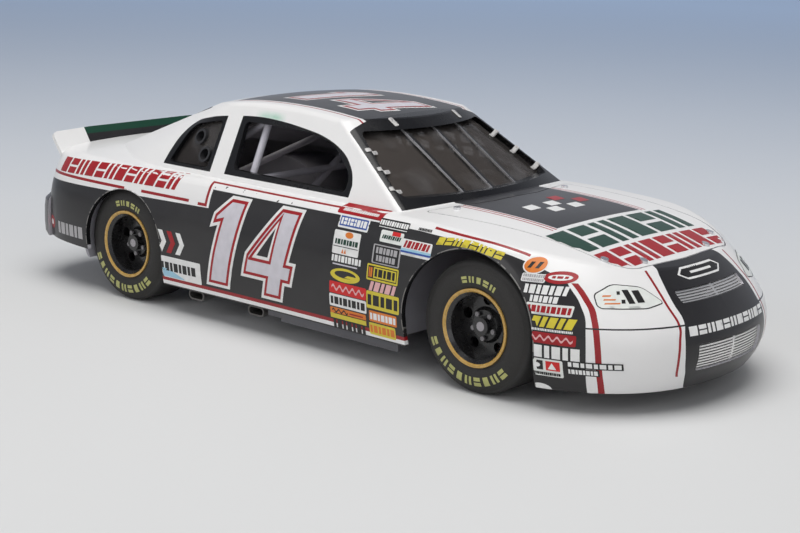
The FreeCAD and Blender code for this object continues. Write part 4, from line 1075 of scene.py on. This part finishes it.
def lifted(outline, points):
    """Shift an outline up by a rise given at a few places, so that a row follows a sloping edge."""
    def rise(u):
        for (a0, b0), (a1, b1) in zip(points, points[1:]):
            if a0 <= u <= a1:
                return b0 + (b1 - b0) * (u - a0) / (a1 - a0)
        return points[0][1] if u < points[0][0] else points[-1][1]
    return [Vector((p.x, p.y + rise(p.x))) for p in outline]


QUARTER_RISE = [(-87, 0.0), (-60, 1.0), (-35, 1.4)]
ARCH_RISE = [(47, 0.3), (52, 0.9), (58, 1.0), (66, -0.2)]


def chevron(u, v, wide, tall, point):
    return outline_of((u, v), (u + wide, v), (u + wide + point, v + tall / 2), (u + wide, v + tall),
                      (u, v + tall), (u + point, v + tall / 2))


print("bands can be drawn")

# %% [markdown]
# The bands are drawn once, for the right side, and mirrored for the left. Mirroring turns an outline round,
# so its points are then taken in the opposite order. With the bands both side sheets are complete, and
# each becomes one piece.

# %% Both sides
def facing(flip):
    """A function that mirrors an outline where flip is -1, and keeps it anticlockwise."""
    def turned(outline):
        moved = [Vector((flip * p.x, p.y)) for p in outline]
        return moved if flip > 0 else moved[::-1]
    return turned


def side_bands(sheet, flip):
    turned = facing(flip)
    for shape in band(-86.0, -38.5, 30.6, 34.4, 12, 1.2):
        sheet.add("red", turned(lifted(shape, QUARTER_RISE)), pitch=0.7)
    for shape in band(47.8, 65.6, 31.4, 33.0, 8, 0.5):
        sheet.add("yellow", turned(lifted(shape, ARCH_RISE)), pitch=0.8)
    for k, ink in enumerate(("white", "red", "white")):
        sheet.add(ink, turned(chevron(-42.6 + 3.3 * k, 16.0, 1.7, 5.6, 1.6)))
    for shape in bars(-84.8, -73.0, 14.0, 17.2, 6):
        sheet.add("grey", turned(shape))
    sheet.add("white", turned(oval(-88.6, 16.3, 0.8, 0.8)), layer=2)
    wedge = outline_of((-45.6, 9.6), (-33, 9.6), (-38, 11.4), (-43, 12.2), (-45.6, 13.6))
    sheet.add("sky", turned(wedge), layer=2)
    sheet.add("white", turned(block(-4.8, -0.7, 5.9, 7.0)))
    for v0, u1 in ((10.9, 92.6), (9.3, 88.6)):
        sheet.add("black", turned(block(82.6, u1, v0 - 0.1, v0 + 1.4)), layer=3)
        for shape in bars(82.9, u1 - 0.3, v0 + 0.15, v0 + 1.15, 8):
            sheet.add("white", turned(shape), layer=4)


side_bands(right_sheet, 1)
side_bands(left_sheet, -1)
right_sheet.piece("decals_right", "car_body")
left_sheet.piece("decals_left", "car_body")

# %% [markdown]
# ## Hood and roof
# Seen from the front, the hood has a few checks on its black panel and two wide bands towards the nose.
# The roof carries the race number again, upright for someone on the right side.

# %% Hood and roof decals
CHECKS = {"white": ((-9.5, -53.0), (-5.5, -57.0), (-1.5, -53.0), (2.5, -57.0)),
          "red": ((4.0, -50.0), (8.5, -54.0))}

hood_sheet = Decals(("hood_panel",), LEFTWARDS, ASTERN)
for ink, places in CHECKS.items():
    for u, v in places:
        hood_sheet.add(ink, block(u, u + 4.0, v, v + 3.4, 0, 0.8))
for shape in band(-24.0, 21.5, -77.6, -67.0, 6, 1.0):
    hood_sheet.add("green", shape)
for shape in band(-22.4, 22.0, -86.4, -79.0, 8, 0.6):
    hood_sheet.add("red", shape)
hood_sheet.piece("decals_hood", "hood")

roof_sheet = Decals(("body_shell",), AHEAD, LEFTWARDS)
number(roof_sheet, -23.5, -13.5, 11.5)
roof_sheet.piece("decals_roof", "car_body")

# %% [markdown]
# ## Nose and tail
# The lamps of a race car are only stickers. Each front one is a pale lens with a thin black rim, some
# strokes at its outer end and plain dark marks. Between the grilles runs a row of white dashes, and a
# plain six-sided outline sits above them. The tail has two red lamps with dark dividers.

# %% Nose and tail decals
FINE = 0.7
LAMP = [(-30.6, 23.4, 0.7), (-29.8, 26.1, 1.6), (-25.6, 27.9, 4.0), (-20.0, 27.1, 3.0), (-17.3, 23.9, 0.5),
        (-22.0, 23.1, 8.0)]
# start, width, lowest and highest edge
LAMP_MARKS = ((-24.9, 1.2, 24.2, 26.7), (-23.1, 1.5, 24.3, 26.5), (-26.2, 0.7, 24.3, 25.0),
              (-26.0, 0.6, 25.9, 26.5))

nose_sheet = Decals(SHELL, LEFTWARDS, UPWARDS)
lens = rounded(LAMP)[::-1]
for flip in (1, -1):
    turned = facing(flip)
    nose_sheet.add("black", turned(lens), pitch=FINE)
    nose_sheet.add("pearl", turned(grown(lens, -0.17)), layer=2, pitch=FINE)
    for k in range(3):
        low = 24.2 + 0.7 * k
        stroke = block(-29.2 + k * 0.25, -26.6 - k * 0.35, low, low + 0.25, 0, 0.3)
        nose_sheet.add("orange", turned(stroke), layer=3)
    for u, wide, low, high in LAMP_MARKS:
        nose_sheet.add("black", turned(block(u, u + wide, low, high, 0, 0.4)), layer=3)
for shape in band(-15.2, 15.2, 17.2, 19.1, 11, 0.3):
    nose_sheet.add("white", shape, pitch=0.8)
plaque = outline_of((-8.6, 28.1), (-6.2, 27.0), (6.2, 27.0), (8.6, 28.1), (6.2, 29.2), (-6.2, 29.2))
nose_sheet.add("white", plaque, pitch=FINE)
nose_sheet.add("black", grown(plaque, -0.34), layer=2, pitch=FINE)
nose_sheet.add("white", block(-4.2, 4.2, 27.9, 28.3), layer=3, pitch=FINE)
nose_sheet.piece("decals_nose", "car_body")

tail_sheet = Decals(SHELL, RIGHTWARDS, UPWARDS)
for a, b in ((14.0, 30.5), (-30.5, -14.0)):
    tail_sheet.add("black", block(a, b, 24.2, 28.2, 1.0))
    tail_sheet.add("red", block(a + 0.5, b - 0.5, 24.7, 27.7, 0.7), layer=2)
    for k in range(1, 4):
        u = a + (b - a) * k / 4
        tail_sheet.add("black", block(u - 0.15, u + 0.15, 24.7, 27.7), layer=3)
tail_sheet.piece("decals_tail", "car_body")

# %% [markdown]
# ## Window clips
# Small bent metal tabs lap from the pillar onto the screen and hold it. Each is a short strip, dropped onto
# the surface so that it bends over the step, then given its thickness by a Solidify modifier. A small
# grey screw head finishes it. Together they stand for the broader clips of the frame.

# %% Window clips
# place along the car, distance from its middle and height
CLIP_PLACES = ((27.5, 28.4, 41.0), (22.0, 26.5, 44.6), (16.5, 24.8, 48.2))


def clip_strip(name, origin, across, up):
    """One tab, drawn in the plane of the screen's edge: long across the edge, narrow along it."""
    sheet = Decals(("body_shell", "windshield"), across, up, origin)
    sheet.add("silver", block(-1.5, 1.5, -0.62, 0.62, 0.25), layer=7, pitch=0.4)
    sheet.add("grey", oval(-0.8, 0, 0.34, 0.34), layer=8, pitch=0.4)
    made = sheet.piece(name, "car_body", "bright_metal")
    plate = made.modifiers.new("thickness", "SOLIDIFY")
    plate.thickness = 0.2 * MM
    plate.offset = -1
    return made


for s, hand in ((-1, "right"), (1, "left")):
    edge = Vector((-0.81, -0.27 * s, 0.53)).normalized()
    outward_there = Vector((0.50, 0.52 * s, 0.69))
    outward_there = (outward_there - edge * outward_there.dot(edge)).normalized()
    over = edge.cross(outward_there) * s
    for k, (x, y, z) in enumerate(CLIP_PLACES, 1):
        clip_strip(f"clip_{hand}{k}", (x, s * (y - 0.6), z), over, edge * s)
    clip_strip("clip_top_" + hand, (12.6, 12.0 * s, 52.6), (0.93, 0, -0.36), LEFTWARDS)
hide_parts("window_clips")

# %% [markdown]
# ## Tyre marks
# Each sidewall has two rows of thin yellow-green paint: a short arc above the hub and a long one below. They
# are plain blocks, split as on the bands, dropped onto the tyre from outside, and they turn with the wheel.

# %% Tyre marks
RING_SPLITS = (((0.29, 0.42, 0, 1), (-0.29, 0.42, 0, 1)), ((0, 1, -0.32, 0.36), (0, 1, 0.32, 0.36)),
               ((0, 1, 0, 0.8),))


def ring_line(radius, turn, width, steps=4):
    """Points along a ring; turns are in radians from the top, clockwise."""
    turns = [turn - width / 2 + width * k / steps for k in range(steps + 1)]
    return [Vector((math.sin(a), math.cos(a))) * radius for a in turns]


def printed_arc(sheet, radius, tall, first, step, count):
    """Blocks along a ring, each whole or split in two; angles in degrees from the top."""
    wide = math.radians(step) * 0.72
    for k in range(count):
        middle = math.radians(first + step * k)
        for up, high, along, share in RING_SPLITS[k % 3]:
            outer, inner = [ring_line(radius + tall * edge, middle + wide * along, wide * share)
                            for edge in (up + high / 2, up - high / 2)]
            sheet.add("lime", outer + inner[::-1], pitch=0.6)


for where in wheels:
    across = AHEAD if where.endswith("right") else ASTERN
    marks = Decals(("tyre_" + where,), across, UPWARDS, middle_of("tyre_" + where))
    printed_arc(marks, 10.85, 1.4, -16, 10.5, 5)
    printed_arc(marks, 11.9, 2.0, 136, 12.2, 10)
    marks.piece("tyre_marks_" + where, "wheel_" + where, "rubber")

# %% [markdown]
# ## Under the hood and in the cabin
# A few small pieces make the inside worth opening: plug leads, two radiator hoses and a belt in the engine
# bay; dials and belts in the cabin. A hose is a ring of points carried along a smooth path. The path
# goes through the given points by the Catmull-Rom rule, which needs no handles.

# %% Tubes along a path
def with_ends(path, closed, after=1):
    """The path with a neighbour added at each end: from its other end where it is closed."""
    return path[-1:] + path + path[:after] if closed else path[:1] + path + path[-1:]


def smooth_path(corners, cuts=6, closed=False):
    points = outline_of(*corners)
    line = with_ends(points, closed, 2)
    path = []
    for p0, p1, p2, p3 in zip(line, line[1:], line[2:], line[3:]):
        for t in (k / cuts for k in range(cuts)):
            path.append(0.5 * (2 * p1 + (p2 - p0) * t + (2 * p0 - 5 * p1 + 4 * p2 - p3) * t ** 2
                               + (3 * p1 - p0 - 3 * p2 + p3) * t ** 3))
    return path if closed else path + points[-1:]


def hose(path, radius, sides=10, closed=False):
    """Points and faces of a tube along a path."""
    line = with_ends(path, closed)
    points, faces = [], []
    for behind, here, ahead in zip(line, path, line[2:]):
        along = (ahead - behind).normalized()
        across = along.cross(Vector((0.13, 0.21, 0.97))).normalized()
        level = along.cross(across)
        points += [here + (across * math.cos(turn) + level * math.sin(turn)) * radius
                   for turn in (math.tau * k / sides for k in range(sides))]
    for i in range(len(path) if closed else len(path) - 1):
        a, b = i * sides, (i + 1) % len(path) * sides
        faces += [(a + k, a + (k + 1) % sides, b + (k + 1) % sides, b + k) for k in range(sides)]
    if not closed:
        faces += [tuple(range(sides))[::-1], tuple(range(len(points) - sides, len(points)))]
    return points, faces


def tubes(name, parts, material):
    """Join tubes into one piece of the car."""
    points, faces = [], []
    for some_points, some_faces in parts:
        faces += [tuple(i + len(points) for i in face) for face in some_faces]
        points += some_points
    mesh = bpy.data.meshes.new(name)
    mesh.from_pydata([p * MM for p in points], [], faces)
    mesh.materials.append(material)
    return ride_along(name, mesh, "car_body")


print("tubes can be made")

# %% [markdown]
# Eight red leads run from the distributor's cap to the plugs, four on each side. One hose joins the
# radiator to the engine at the top and one lower down, and the belt is a closed loop ahead of the engine.

# %% Leads, hoses and belt
CAP_X, CAP_Z = 43.2, 28.2
leads = []
for k, x in enumerate((45, 51, 57, 63)):
    for s in (-1, 1):
        route = [(CAP_X + 0.4 * k - 0.6, s * 0.7, CAP_Z),
                 (x - 1.0, s * (2.6 + 0.3 * k), CAP_Z + 0.6 - 0.2 * k),
                 (x, s * 5.0, 27.2), (x, s * 9.2, 24.4), (x, s * 11.2, 20.8)]
        leads.append(hose(smooth_path(route), 0.28, 8))
tubes("plug_leads", leads, moulded("lead_rubber", (0.42, 0.03, 0.02), 0.45, depth=0.01))

TOP_HOSE = [(66.0, 4.5, 24.0), (70.0, 6.5, 25.6), (76.0, 9.5, 25.6), (81.8, 10.5, 24.4)]
LOW_HOSE = [(66.5, -4.0, 13.0), (72.0, -7.0, 13.2), (77.0, -10.0, 15.5), (81.8, -10.5, 17.4)]
BELT_X = 70.3
BELT = [(BELT_X, 0, 12.0), (BELT_X, 3.3, 15.0), (BELT_X, 2.2, 22.0), (BELT_X, 0, 24.2), (BELT_X, -2.2, 22.0),
        (BELT_X, -3.3, 15.0)]
tubes("hoses_and_belt", [hose([Vector((CAP_X, 0, z)) for z in (26.8, 28.0, 28.6)], 1.5, 20),
                         hose(smooth_path(TOP_HOSE), 1.0, 14), hose(smooth_path(LOW_HOSE), 1.0, 14),
                         hose(smooth_path(BELT, 8, True), 0.35, 8, True)], charcoal)

# %% [markdown]
# The dials are printed on the dashboard, and the seat has a red harness: two straps over the shoulders and
# one across the lap, drawn from the front and dropped onto the seat.

# %% Dials and harness
DIAL_Z = 31.6

dial_sheet = Decals(("dashboard",), RIGHTWARDS, UPWARDS)
for k, size in enumerate((0.9, 0.9, 1.7, 0.9, 0.9)):
    spot = -21.5 + 3.5 * k
    dial_sheet.add("white", oval(spot, DIAL_Z, size, size), pitch=0.6)
    dial_sheet.add("black", oval(spot, DIAL_Z, size * 0.86, size * 0.86), layer=2, pitch=0.6)
    dial_sheet.add("white", block(spot - 0.1, spot + 0.1, DIAL_Z, DIAL_Z + size * 0.7), layer=3)
dial_sheet.add("red", block(-6.5, -3.0, 30.6, 32.4, 0.3))
dial_sheet.piece("dashboard_dials", "car_body", "black_plastic")

harness_sheet = Decals(("driver_seat",), LEFTWARDS, UPWARDS)
for belt in ((10.9, 12.3, 17.0, 33.0, 0, -0.4), (16.7, 18.1, 17.0, 33.0, 0, 0.4), (9.4, 19.6, 15.4, 17.0)):
    harness_sheet.add("red", block(*belt), layer=4)
harness_sheet.add("grey", block(13.4, 15.6, 15.2, 17.2, 0.2), layer=6)
harness_sheet.piece("seat_harness", "car_body", "black_cloth")

# %% [markdown]
# ## Floor
# One flat card is enough for a floor, if it runs far back. It is pale paper that turns a little blue far
# away, by its own colour and a faint glow, so that the car's shadow stays as it is.

# %% Floor
FLOOR_HALF = 6.0
CARD = ((0.66, 0.665, 0.665), (0.69, 0.695, 0.695))
CARD_BLUE = (0.42, 0.54, 0.72)
BLUE_GLOW = (0.16, 0.21, 0.30)
NO_LIGHT = (0.0, 0.0, 0.0)


def studio_floor():
    wire, material = start("floor_card")
    x, y, z = place(wire)
    far = ((y - x * 0.6) / 1500) | 0.0
    card = mix(grain(wire, 6, 2.0), *CARD)
    seal(wire, material, Base_Color=mix(far, card, CARD_BLUE), Roughness=0.9,
         Emission_Color=mix(far, NO_LIGHT, BLUE_GLOW), Emission_Strength=1.0)
    mesh = bpy.data.meshes.new("floor")
    corners = [(a * FLOOR_HALF, b * FLOOR_HALF, 0) for a, b in ((-1, -1), (1, -1), (1, 1), (-1, 1))]
    mesh.from_pydata(corners, [], [(0, 1, 2, 3)])
    mesh.materials.append(material)
    made = bpy.data.objects.new("floor", mesh)
    bpy.context.scene.collection.objects.link(made)


studio_floor()
print("floor laid")

# %% [markdown]
# ## Light
# One large soft lamp hangs above, one stands ahead of the nose and one at the side, all wide and weak, so
# that white paint stays below pure white. The surround is dim. Only what mirrors it sees it brighter low
# down, like a horizon, which gives gloss paint and windows something to reflect.

# %% Lamps and surround
def soft_light(name, place, size, power, colour):
    """A round lamp that faces the car."""
    data = bpy.data.lights.new(name, "AREA")
    data.shape = "DISK"
    data.size = size
    data.energy = power
    data.color = colour
    lamp = bpy.data.objects.new(name, data)
    lamp.location = place
    lamp.rotation_euler = (-Vector(place)).to_track_quat("-Z", "Y").to_euler()
    bpy.context.scene.collection.objects.link(lamp)


def surround():
    world = bpy.data.worlds.new("surround")
    world.use_nodes = True
    world.node_tree.nodes.clear()
    wire = Wire(world.node_tree)
    rays = wire.node("LightPath", output="Is Camera Ray")
    height = wire.node("SeparateXYZ", inputs={0: wire.node("TexCoord", output="Generated")}).also(2)
    high = ((height - 0.3) / 0.45).between(0, 1) * (height - 0.3) / 0.45 + (height > 0.75)
    plain = mix(rays, (0.20, 0.205, 0.22), (0.52, 0.59, 0.68))
    colour = mix(rays.also("Is Glossy Ray"), plain, mix(high, (0.42, 0.44, 0.49), (0.07, 0.08, 0.11)))
    lit = wire.node("Background", inputs={"Color": colour, "Strength": 1.0})
    wire.node("OutputWorld", inputs={"Surface": lit})
    bpy.context.scene.world = world


soft_light("top_light", (0.05, -0.10, 0.75), 0.7, 4.9, (1.0, 0.99, 0.975))
soft_light("front_light", (0.75, -0.45, 0.35), 0.8, 1.45, (1.0, 0.99, 0.98))
soft_light("side_light", (-0.25, -0.85, 0.40), 0.5, 1.4, (1.0, 0.99, 0.98))
surround()
print("studio lit")

# %% [markdown]
# ## Finish
# The picture uses Blender's Standard view transform.

# %% Finish
bpy.context.scene.view_settings.view_transform = "Standard"
